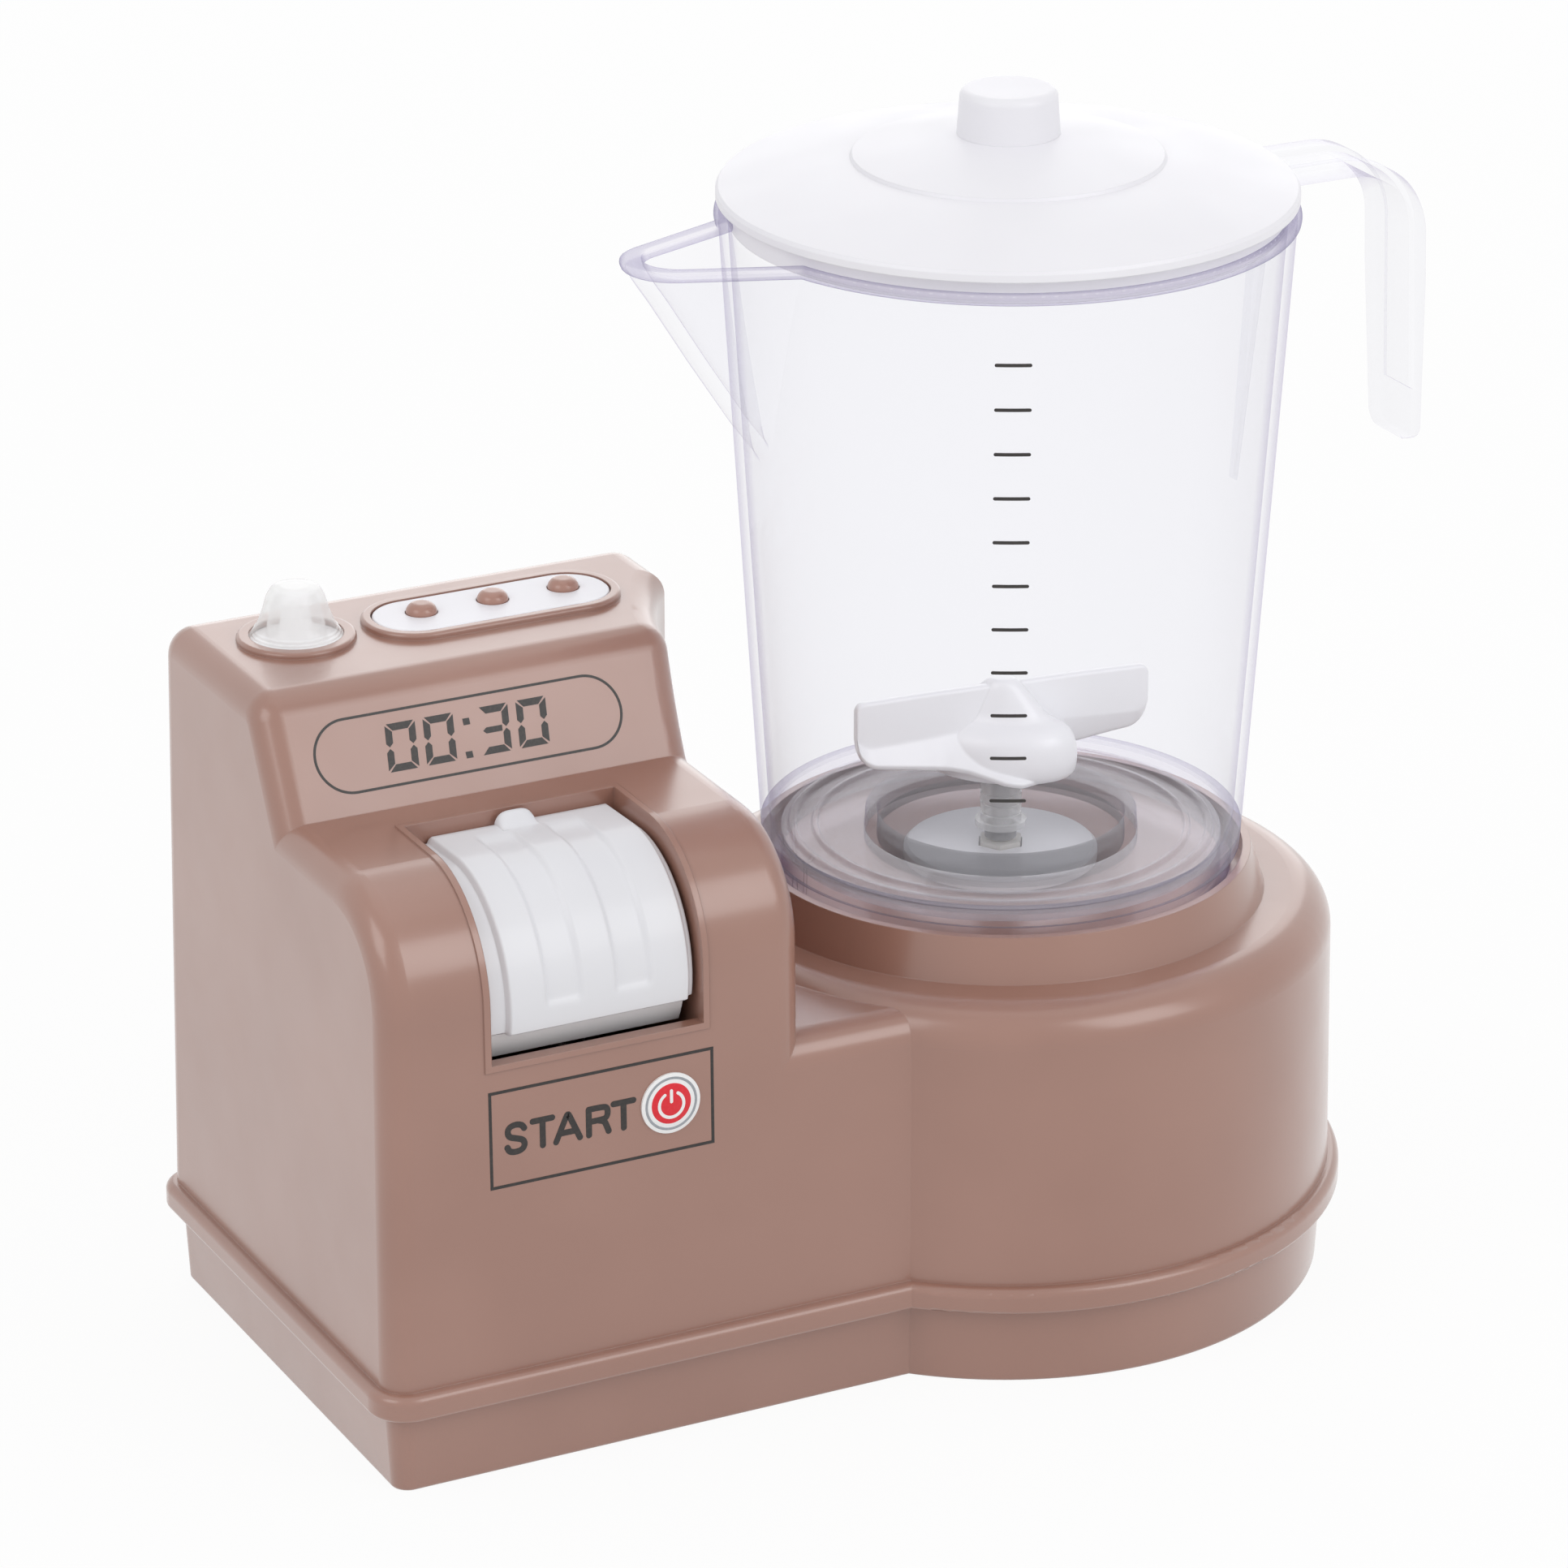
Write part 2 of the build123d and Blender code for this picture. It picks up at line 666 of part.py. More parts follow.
    # bosses of the housing screws, each with a rib to the wall
    for x, y in housing_screws_at:
        in_tower = x < -jug_clear_r
        top = 40.0
        foot = well_z + wall + fit_gap
        with Locations((x, y, foot)):
            Cylinder(boss_r, top - foot, align=UP)
        if in_tower:
            reach = screw_in - wall + 0.4
            with Locations((x - reach / 2, y, skirt_z)):
                Box(reach, 1.6, top - skirt_z, align=UP)
            side = -1 if y < 0 else 1
            with Locations((x, y + side * reach / 2, skirt_z)):
                Box(1.6, reach, top - skirt_z, align=UP)
        else:
            out = sqrt(x**2 + y**2)
            turn = atan2(y, x) * 180 / pi
            reach = drum_r - wall + 0.4 - out
            with Locations(Location((x, y, skirt_z), (0, 0, turn))):
                with Locations((reach / 2, 0, 0)):
                    Box(reach, 1.6, top - skirt_z, align=UP)
        with Locations((x, y, foot)):
            Cylinder(pilot_r, 12, align=UP, mode=Mode.SUBTRACT)
upper_housing.part.label = "upper_housing"
export_step(upper_housing.part, "parts/upper_housing.step")

# ---------------------------------------------------------------- tray
plan_tray_foot = footprint(tray_foot_inset)
plan_tray_top = footprint(tray_top_inset)
plan_lip_out = footprint(wall + fit_gap)
plan_lip_in = footprint(2 * wall)
plan_tray_in = footprint(tray_foot_inset + wall)
with BuildPart() as tray:
    with BuildSketch(Plane.XY):
        add(plan_tray_foot)
    with BuildSketch(Plane.XY.offset(tray_h)):
        add(plan_tray_top)
    loft(ruled=True)
    fillet(tray.faces().sort_by(Axis.Z)[0].edges(), radius=tray_foot_r)
    with BuildSketch(Plane.XY.offset(tray_h)):
        add(plan_lip_out)
    extrude(amount=tray_lip_h)
    with BuildSketch(Plane.XY.offset(wall)):
        add(plan_tray_in)
    extrude(amount=tray_h - wall - 2, mode=Mode.SUBTRACT)
    with BuildSketch(Plane.XY.offset(wall)):
        add(plan_lip_in)
    extrude(amount=tray_h + tray_lip_h, mode=Mode.SUBTRACT)
    # battery bay, and the opening that its door closes
    with Locations((bay_x, (bay_front + bay_back) / 2, 0)):
        Box(
            2 * (bay_half + bay_wall),
            bay_back - bay_front + 2 * bay_wall,
            cell_z + cell_r + 0.5 + bay_wall,
            align=UP,
        )
    with Locations((bay_x, (bay_front + bay_back) / 2, wall)):
        Box(
            2 * bay_half,
            bay_back - bay_front,
            cell_z + cell_r + 0.5 - wall,
            align=UP,
            mode=Mode.SUBTRACT,
        )
    with Locations((bay_x, (bay_front + bay_back) / 2, 0)):
        Box(
            2 * (bay_half - door_ledge),
            bay_back - bay_front - 2 * door_ledge,
            wall,
            align=UP,
            mode=Mode.SUBTRACT,
        )
    with Locations((door_screw_at[0], door_screw_at[1], 0)):
        Cylinder(boss_r + 1.4, 13, align=UP)
    with Locations((door_screw_at[0], door_screw_at[1], 0)):
        Cylinder(boss_r, wall + 1.4, align=UP, mode=Mode.SUBTRACT)
        Cylinder(pilot_r, 12, align=UP, mode=Mode.SUBTRACT)
        with Locations((0, tongue / 2, 0)):
            Box(2 * boss_r, tongue, wall, align=UP, mode=Mode.SUBTRACT)
    # wells of the housing screws, open below
    with Locations([(x, y, 0) for x, y in housing_screws_at]):
        Cylinder(well_r, well_z + wall, align=UP)
        Cylinder(well_r - wall + 0.4, well_z, align=UP, mode=Mode.SUBTRACT)
        Cylinder(screw_hole_r, well_z + wall, align=UP, mode=Mode.SUBTRACT)
    # seat of the speaker, with a pattern of holes below it
    with Locations((speaker_x, 0, wall)):
        Cylinder(speaker_r + fit_gap + 1.4, 4, align=UP)
        Cylinder(speaker_r + fit_gap, 4, align=UP, mode=Mode.SUBTRACT)
    with Locations((speaker_x, 0, 0)):
        with HexLocations(2.6, 5, 5):
            Cylinder(1.3, wall, align=UP, mode=Mode.SUBTRACT)
tray.part.label = "tray"
export_step(tray.part, "parts/tray.step")

with BuildPart() as housing_screws:
    add(screw_set(housing_screws_at, well_z, screw_len))
housing_screws.part.label = "housing_screws"
export_step(housing_screws.part, "parts/housing_screws.step")

with BuildPart() as battery_door:
    with Locations((bay_x, (bay_front + bay_back) / 2, 0)):
        Box(
            2 * (bay_half - door_ledge - fit_gap),
            bay_back - bay_front - 2 * (door_ledge + fit_gap),
            wall,
            align=UP,
        )
    # tongue that the screw holds
    with Locations((door_screw_at[0], door_screw_at[1], 0)):
        Cylinder(boss_r - fit_gap, wall + 1.2, align=UP)
        with Locations((0, tongue / 2, 0)):
            Box(2 * (boss_r - fit_gap), tongue + 1, wall, align=UP)
    with Locations((door_screw_at[0], door_screw_at[1], 0)):
        Cylinder(screw_head_r + fit_gap, screw_head_t + 0.3, align=UP, mode=Mode.SUBTRACT)
        Cylinder(screw_hole_r, wall + 2, align=UP, mode=Mode.SUBTRACT)
    # two tabs over the tray's ledge, between the cells
    for side in (-1, 1):
        with Locations((bay_x + side * cell_pitch / 2, bay_back - door_ledge - 2, wall)):
            Box(door_tab_w, 4 + 2 * door_ledge - 1.2, 1.2, align=UP)
    # ribs across the inside
    for y in (bay_front + 14, (bay_front + bay_back) / 2, bay_back - 14):
        for side in (-1, 1):
            with Locations((bay_x + side * cell_pitch / 2, y, wall)):
                Box(door_tab_w, 1.2, 0.9, align=UP)
battery_door.part.label = "battery_door"
export_step(battery_door.part, "parts/battery_door.step")

with BuildPart() as door_screw:
    add(screw_set([door_screw_at], screw_head_t + 0.3, screw_len))
door_screw.part.label = "door_screw"
export_step(door_screw.part, "parts/door_screw.step")

# three AA cells side by side, the middle one turned round
cell_mid_y = (bay_front + bay_back) / 2
with BuildPart() as batteries:
    for k in (-1, 0, 1):
        way = -1 if k == 0 else 1
        x = bay_x + k * cell_pitch
        with Locations(Location((x, cell_mid_y, cell_z), (90, 0, 0))):
            Cylinder(cell_r, cell_len)
        with Locations(Location((x, cell_mid_y + way * (cell_len + cell_nub) / 2, cell_z), (90, 0, 0))):
            Cylinder(cell_nub_r, cell_nub)
batteries.part.label = "batteries"
export_step(batteries.part, "parts/batteries.step")

# sprung contact plates at both ends of the bay
with BuildPart() as battery_contacts:
    for end, y in ((-1, bay_front), (1, bay_back)):
        for k in (-1, 0, 1):
            x = bay_x + k * cell_pitch
            way = -1 if k == 0 else 1
            tip = cell_mid_y + end * (cell_len / 2 + (cell_nub if way == end else 0))
            with BuildSketch(Plane.YZ.offset(x - 4)):
                with BuildLine():
                    Polyline(
                        (y, 4.5),
                        (y - end * 0.5, 4.5),
                        (y - end * 0.5, 6.0),
                        (tip + end * 0.02, cell_z),
                        (y - end * 0.5, 13.2),
                        (y - end * 0.5, 14.5),
                        (y, 14.5),
                        (y, 13.0),
                        (tip + end * 0.52, cell_z),
                        (y, 6.2),
                        close=True,
                    )
                make_face()
            extrude(amount=8)
battery_contacts.part.label = "battery_contacts"
export_step(battery_contacts.part, "parts/battery_contacts.step")

with BuildPart() as speaker:
    with BuildSketch(Plane.XZ):
        with BuildLine():
            Polyline(
                (0, 4.0),
                (4, 4.0),
                (7, 2.8),
                (10.5, 3.6),
                (12.6, 2.4),
                (12.6, wall),
                (speaker_r, wall),
                (speaker_r, wall + 1.6),
                (11, wall + 3.4),
                (7.5, wall + speaker_h - 1.5),
                (7.5, wall + speaker_h),
                (0, wall + speaker_h),
                close=True,
            )
        make_face()
    revolve(axis=Axis.Z)
speaker.part.position = (speaker_x, 0, 0)
speaker.part.label = "speaker"
export_step(speaker.part, "parts/speaker.step")

# ---------------------------------------------------------------- drive and gear train
with BuildPart() as gear_plate:
    with BuildSketch(Plane.XY.offset(gear_plate_z)):
        with Locations((-8, 4.5)):
            RectangleRounded(gear_plate_l, gear_plate_w, gear_plate_corner)
        Circle(bush_r + tight_gap, mode=Mode.SUBTRACT)
        with Locations((idler_x, 0)):
            Circle(motor_shaft_r + tight_gap, mode=Mode.SUBTRACT)
        with Locations((idler_x, motor_y)):
            Circle(motor_nose_r + tight_gap, mode=Mode.SUBTRACT)
        with Locations(*gear_screws_at):
            Circle(screw_hole_r, mode=Mode.SUBTRACT)
    extrude(amount=gear_plate_t)
gear_plate.part.label = "gear_plate"
export_step(gear_plate.part, "parts/gear_plate.step")

with BuildPart() as gear_screws:
    add(screw_set(gear_screws_at, gear_plate_z, screw_len))
gear_screws.part.label = "gear_screws"
export_step(gear_screws.part, "parts/gear_screws.step")

with BuildPart() as shaft_bush:
    with Locations((0, 0, gear_plate_z - 0.8)):
        Cylinder(bush_r, gear_plate_t + 0.8, align=UP)
    with Locations((0, 0, gear_plate_top)):
        Cylinder(bush_r + 1.2, 0.8, align=UP)
    with Locations((0, 0, gear_plate_z - 0.8)):
        Cylinder(drive_shaft_r + running_gap, gear_plate_t + 1.6, align=UP, mode=Mode.SUBTRACT)
shaft_bush.part.label = "shaft_bush"
export_step(shaft_bush.part, "parts/shaft_bush.step")

with BuildPart() as drive_shaft:
    with Locations((0, 0, gear_plate_z - 2)):
        Cylinder(drive_shaft_r, drive_hub_low_z + 4 - gear_plate_z + 2, align=UP)
    chamfer(drive_shaft.faces().sort_by(Axis.Z)[0].edges(), length=0.4)
drive_shaft.part.label = "drive_shaft"
export_step(drive_shaft.part, "parts/drive_shaft.step")

with BuildPart() as output_gear:
    with BuildSketch(Plane.XY.offset(wheel_z)):
        add(gear_face(wheel_teeth, 1.0, 0))
        Circle(drive_shaft_r + tight_gap, mode=Mode.SUBTRACT)
    extrude(amount=wheel_t)
    # sunk web between the hub and the rim
    with BuildSketch(Plane.XY.offset(wheel_z + wheel_t - 1.2)):
        Circle(8.6)
        Circle(4.2, mode=Mode.SUBTRACT)
    extrude(amount=1.2, mode=Mode.SUBTRACT)
    with BuildSketch(Plane.XY.offset(wheel_z + wheel_t)):
        Circle(4.2)
        Circle(drive_shaft_r + tight_gap, mode=Mode.SUBTRACT)
    extrude(amount=drive_hub_low_z - wheel_z - wheel_t)
output_gear.part.label = "output_gear"
export_step(output_gear.part, "parts/output_gear.step")

# white disc that turns below the jug's floor, with the hexagon socket in its hub
with BuildPart() as drive_disc:
    with BuildSketch(Plane.XZ):
        with BuildLine():
            Polyline(
                (drive_shaft_r + tight_gap, drive_hub_low_z),
                (drive_hub_r, drive_hub_low_z),
                (drive_hub_r, disc_low_z),
                (disc_r, disc_low_z),
                (disc_r, disc_top_z - 0.6),
                (disc_r - 0.6, disc_top_z),
                (drive_shaft_r + tight_gap, disc_top_z),
                close=True,
            )
        make_face()
    revolve(axis=Axis.Z)
    with BuildSketch(Plane.XY.offset(drive_hub_low_z + 4.5)):
        RegularPolygon(coupling_af / 2, 6, major_radius=False)
    extrude(amount=disc_top_z, mode=Mode.SUBTRACT)
drive_disc.part.label = "drive_disc"
export_step(drive_disc.part, "parts/drive_disc.step")

with BuildPart() as idler_gear:
    with BuildSketch(Plane.XY.offset(idler_z)):
        add(Pos(idler_x, 0) * gear_face(wheel_teeth, 1.0, 0))
    extrude(amount=idler_wheel_t)
    with BuildSketch(Plane.XY.offset(idler_z + idler_wheel_t)):
        add(Pos(idler_x, 0) * gear_face(small_teeth, 1.0, 15))
    extrude(amount=gear_gap + wheel_t)
    with Locations((idler_x, 0, idler_z)):
        Cylinder(motor_shaft_r + running_gap, 10, align=UP, mode=Mode.SUBTRACT)
idler_gear.part.label = "idler_gear"
export_step(idler_gear.part, "parts/idler_gear.step")

with BuildPart() as idler_pin:
    with Locations((idler_x, 0, gear_plate_z)):
        Cylinder(motor_shaft_r, wheel_z + wheel_t + 1.5 - gear_plate_z, align=UP)
    with Locations((idler_x, 0, gear_plate_z - 0.6)):
        Cylinder(motor_shaft_r + 1, 0.6, align=UP)
    with Locations((idler_x, 0, gear_plate_top)):
        Cylinder(motor_shaft_r + 1, idler_z - gear_gap / 2 - gear_plate_top, align=UP)
idler_pin.part.label = "idler_pin"
export_step(idler_pin.part, "parts/idler_pin.step")

with BuildPart() as motor_can:
    with BuildSketch(Plane.XY.offset(gear_plate_z - motor_len)):
        with Locations((idler_x, motor_y)):
            Circle(motor_r)
            Rectangle(2 * motor_r, 2 * motor_flat, mode=Mode.INTERSECT)
    extrude(amount=motor_len)
    with Locations((idler_x, motor_y, gear_plate_z)):
        Cylinder(motor_nose_r, 1.6, align=UP)
    with Locations((idler_x, motor_y, gear_plate_z - 4)):
        Cylinder(motor_shaft_r + running_gap, 6, align=UP, mode=Mode.SUBTRACT)
motor_can.part.label = "motor_can"
export_step(motor_can.part, "parts/motor_can.step")

with BuildPart() as motor_end_cap:
    with BuildSketch(Plane.XY.offset(gear_plate_z - motor_len - 2.4)):
        with Locations((idler_x, motor_y)):
            Circle(motor_r - 0.5)
            Rectangle(2 * motor_r, 2 * motor_flat - 1, mode=Mode.INTERSECT)
    extrude(amount=2.4)
    for side in (-1, 1):
        with Locations((idler_x + side * 6.5, motor_y, gear_plate_z - motor_len - 5.4)):
            Box(0.5, 2.2, 3, align=UP)
motor_end_cap.part.label = "motor_end_cap"
export_step(motor_end_cap.part, "parts/motor_end_cap.step")

with BuildPart() as motor_shaft:
    with Locations((idler_x, motor_y, gear_plate_z - 3)):
        Cylinder(motor_shaft_r, idler_z + idler_wheel_t + 3.4 - gear_plate_z, align=UP)
motor_shaft.part.label = "motor_shaft"
export_step(motor_shaft.part, "parts/motor_shaft.step")

with BuildPart() as motor_pinion:
    with BuildSketch(Plane.XY.offset(idler_z - 0.3)):
        add(Pos(idler_x, motor_y) * gear_face(pinion_teeth, 1.0, 0))
        with Locations((idler_x, motor_y)):
            Circle(motor_shaft_r + tight_gap, mode=Mode.SUBTRACT)
    extrude(amount=idler_wheel_t + 0.5)
motor_pinion.part.label = "motor_pinion"
export_step(motor_pinion.part, "parts/motor_pinion.step")

# ---------------------------------------------------------------- jug
# side view of the handle's strap, cut to a taper towards its free end
with BuildPart() as handle:
    with BuildSketch(Plane.XZ.offset(-handle_w / 2)):
        add(strap_strip(0, handle_t, jug_r(handle_top_z) - 1, handle_low_z))
    extrude(amount=handle_w)
    with BuildSketch(Plane.YZ):
        with BuildLine():
            Polyline(
                (-handle_w / 2, handle_top_z),
                (-handle_w / 2, handle_top_z - 22),
                (-handle_foot_w / 2, handle_low_z),
                (handle_foot_w / 2, handle_low_z),
                (handle_w / 2, handle_top_z - 22),
                (handle_w / 2, handle_top_z),
                close=True,
            )
        front = make_face()
        fillet(front.vertices().group_by(Axis.Y)[0], radius=2.5)
    extrude(amount=handle_out_x + 10, mode=Mode.INTERSECT)
    with BuildSketch(Plane.XZ.offset(-groove_w / 2)):
        add(strap_strip(-1, groove_depth, jug_rim_r + 2, groove_low_z))
    extrude(amount=groove_w, mode=Mode.SUBTRACT)
    # tapered rib on the jug's wall, under the strap
    with BuildSketch(Plane.XZ.offset(-wall_rib_w / 2)):
        with BuildLine():
            Polyline(
                (jug_r(handle_top_z) - 1, handle_top_z - 1),
                (jug_r(handle_top_z) + wall_rib_out + 3, handle_top_z - 1),
                (jug_r(handle_top_z) + wall_rib_out, handle_top_z - 6),
                (jug_r(wall_rib_low_z) + 0.6, wall_rib_low_z),
                (jug_r(wall_rib_low_z) - 1, wall_rib_low_z),
                close=True,
            )
        make_face()
    extrude(amount=wall_rib_w)

# outside and inside of the pouring spout
spout_levels = [
    (jug_rim_z, spout_tip_x, 7.0, 14.6),
    (jug_rim_z - 8.3, spout_tip_x + 3.8, 6.4, 11.8),
    (jug_rim_z - 22.3, spout_tip_x + 12.6, 4.6, 7.6),
    (spout_low_z, spout_tip_x + 24.1, 2.2, 2.6),
]
with BuildPart() as spout_outside:
    for z, keel_x, tip_r, half in spout_levels:
        with BuildSketch(Plane.XY.offset(z)):
            root_x = max(-sqrt(jug_r(z) ** 2 - half**2) + 0.3, keel_x + 2 * tip_r)
            add(spout_section(keel_x, tip_r, half, root_x))
    loft()
with BuildPart() as spout_inside:
    for z, keel_x, tip_r, half in spout_levels:
        z_in = z + (spout_keel if z == spout_low_z else 0)
        z_in = z + 1 if z == jug_rim_z else z_in
        inner_r = tip_r - (1.0 if z == spout_low_z else jug_wall)
        root_x = max(-sqrt(jug_r(z) ** 2 - half**2) + 0.9, keel_x + spout_keel + 2 * inner_r)
        with BuildSketch(Plane.XY.offset(z_in)):
            add(spout_section(keel_x + spout_keel, inner_r, half - jug_wall + 0.3, root_x))
    loft()

with BuildPart() as jug:
    with BuildSketch(Plane.XZ):
        with BuildLine():
            Polyline(
                (0, jug_bottom_z),
                (jug_foot_r, jug_bottom_z),
                (jug_rim_r, jug_rim_z),
                (0, jug_rim_z),
                close=True,
            )
        side = make_face()
        fillet(side.vertices().group_by(Axis.Y)[0].sort_by(Axis.X)[-1], radius=2.2)
    revolve(axis=Axis.Z)
    add(spout_outside.part)
    # bead round the rim and the spout
    z, keel_x, tip_r, half = spout_levels[0]
    with BuildSketch(Plane.XY.offset(jug_rim_z - rim_bead_h)):
        Circle(jug_rim_r + rim_bead)
        root_x = -sqrt(jug_rim_r**2 - half**2)
        add(spout_section(keel_x - rim_bead, tip_r + rim_bead, half + rim_bead, root_x))
    extrude(amount=rim_bead_h)
    fillet(jug.faces().sort_by(Axis.Z)[-1].edges(), radius=0.8)
    # inside
    with BuildSketch(Plane.XZ):
        with BuildLine():
            Polyline(
                (0, jug_floor_z),
                (jug_r(jug_floor_z) - jug_wall, jug_floor_z),
                (jug_r(jug_rim_z + 1) - jug_wall, jug_rim_z + 1),
                (0, jug_rim_z + 1),
                close=True,
            )
        side = make_face()
        fillet(side.vertices().group_by(Axis.Y)[0].sort_by(Axis.X)[-1], radius=1.6)
    revolve(axis=Axis.Z, mode=Mode.SUBTRACT)
    add(spout_inside.part, mode=Mode.SUBTRACT)
    add(handle.part)
    # spigot below the floor, upright ring on the floor, and the boss hole
    with BuildSketch(Plane.XY.offset(collar_floor_z + seat_gap)):
        Circle(spigot_r)
        Circle(spigot_r - spigot_t, mode=Mode.SUBTRACT)
    extrude(amount=jug_bottom_z + 0.5 - collar_floor_z - seat_gap)
    with BuildSketch(Plane.XZ):
        with BuildLine():
            Polyline(
                (floor_ring_r, jug_floor_z - 0.3),
                (floor_ring_r, jug_floor_z + floor_ring_h),
                (floor_ring_r + floor_ring_t, jug_floor_z + floor_ring_h),
                (floor_ring_r + floor_ring_t, jug_floor_z + 1.2),
                (floor_ring_r + 2 * floor_ring_t, jug_floor_z - 0.3),
                close=True,
            )
        make_face()
    revolve(axis=Axis.Z)
    with BuildSketch(Plane.XY.offset(jug_floor_z - 0.3)):
        Circle(ridge_r + ridge_w / 2)
        Circle(ridge_r - ridge_w / 2, mode=Mode.SUBTRACT)
    extrude(amount=ridge_h + 0.3, taper=20)
    with Locations((0, 0, jug_bottom_z)):
        Cylinder(bush_stem_r + tight_gap, jug_floor_t, align=UP, mode=Mode.SUBTRACT)
jug.part.label = "jug"
export_step(jug.part, "parts/jug.step")

# ringed sleeve that stands on the jug's floor round the impeller's shaft
with BuildPart() as jug_bush:
    groove = 0.35
    steps = [(bush_stem_r, jug_bottom_z), (bush_stem_r, jug_floor_z), (bush_r + 0.8, jug_floor_z)]
    steps += [(bush_r + 0.8, jug_floor_z + 1), (bush_r, jug_floor_z + 1)]
    for k in range(3):
        low = jug_floor_z + 2.2 + 1.8 * k
        steps += [(bush_r, low), (bush_r - groove, low), (bush_r - groove, low + 0.6)]
        steps += [(bush_r, low + 0.6)]
    steps += [(bush_r, bush_top_z), (shaft_r + running_gap, bush_top_z)]
    steps += [(shaft_r + running_gap, jug_bottom_z)]
    with BuildSketch(Plane.XZ):
        with BuildLine():
            Polyline(*steps, close=True)
        make_face()
    revolve(axis=Axis.Z)
jug_bush.part.label = "jug_bush"
export_step(jug_bush.part, "parts/jug_bush.step")

# ---------------------------------------------------------------- impeller
# along the blade: distance from the axis, reach of the foot to its front, lower edge
blade_stations = [
    (1.0, 5.6, hub_low_z + 2.0),
    (9.0, 5.2, hub_low_z + 3.0),
    (15.0, 3.9, hub_low_z + 4.3),
    (impeller_r, 2.7, hub_low_z + 5.8),
]
with BuildPart() as blades:
    for way in (1, -1):
        for r, reach, low_z in blade_stations:
            across = Plane(origin=(way * r, 0, 0), x_dir=(0, way, 0), z_dir=(way, 0, 0))
            with BuildSketch(across):
                with BuildLine():
                    Polyline(
                        (-blade_t / 2, blade_top_z),
                        (-blade_t / 2, low_z + blade_foot_h + 1),
                        (-blade_t / 2 - 0.4, low_z + blade_foot_h),
                        (-blade_t / 2 - 1.0, low_z + 1),
                        (-blade_t / 2 - 0.4, low_z),
                        (reach - 0.8, low_z),
                        (reach, low_z + 0.9),
                        (reach * 0.6, low_z + blade_foot_h - 1.2),
                        (blade_t / 2 + 0.4, low_z + blade_foot_h),
                        (blade_t / 2, low_z + blade_foot_h + 1),
                        (blade_t / 2, blade_top_z),
                        close=True,
                    )
                make_face()
        loft()
    # rounded ends of the blades
    with BuildSketch(Plane.XZ.offset(-hub_r - 4)):
        with Locations((0, (hub_low_z + blade_top_z) / 2)):
            RectangleRounded(2 * impeller_r, blade_top_z - hub_low_z, blade_corner_r)
    extrude(amount=2 * hub_r + 8, mode=Mode.INTERSECT)
with BuildPart() as impeller:
    with BuildSketch(Plane.XZ):
        with BuildLine():
            Polyline(
                (0, hub_low_z),
                (hub_r, hub_low_z),
                (hub_r, hub_low_z + hub_skirt_h),
                (hub_tip_r, hub_low_z + hub_h),
                (0, hub_low_z + hub_h),
                close=True,
            )
        side = make_face()
        corners = side.vertices().sort_by(Axis.X)[-2:]
        fillet(corners, radius=2.2)
    revolve(axis=Axis.Z)
    add(blades.part)
    with Locations((0, 0, hub_low_z)):
        Cylinder(shaft_r + tight_gap, hub_h - 5, align=UP, mode=Mode.SUBTRACT)
impeller.part.orientation = (0, 0, impeller_angle)
impeller.part.label = "impeller"
export_step(impeller.part, "parts/impeller.step")

coupling_low_z = drive_hub_low_z + 7.5
coupling_top_z = jug_bottom_z - 0.4
with BuildPart() as impeller_shaft:
    with Locations((0, 0, coupling_low_z + 0.5)):
        Cylinder(shaft_r, hub_low_z + hub_h - 7 - coupling_low_z, align=UP)
impeller_shaft.part.label = "impeller_shaft"
export_step(impeller_shaft.part, "parts/impeller_shaft.step")

with BuildPart() as jug_coupling:
    with BuildSketch(Plane.XY.offset(coupling_low_z)):
        RegularPolygon(coupling_af / 2 - coupling_play, 6, major_radius=False)
        Circle(shaft_r + tight_gap, mode=Mode.SUBTRACT)
    extrude(amount=coupling_top_z - coupling_low_z)
    chamfer(jug_coupling.faces().sort_by(Axis.Z)[0].outer_wire().edges(), length=0.8)
jug_coupling.part.label = "jug_coupling"
export_step(jug_coupling.part, "parts/jug_coupling.step")

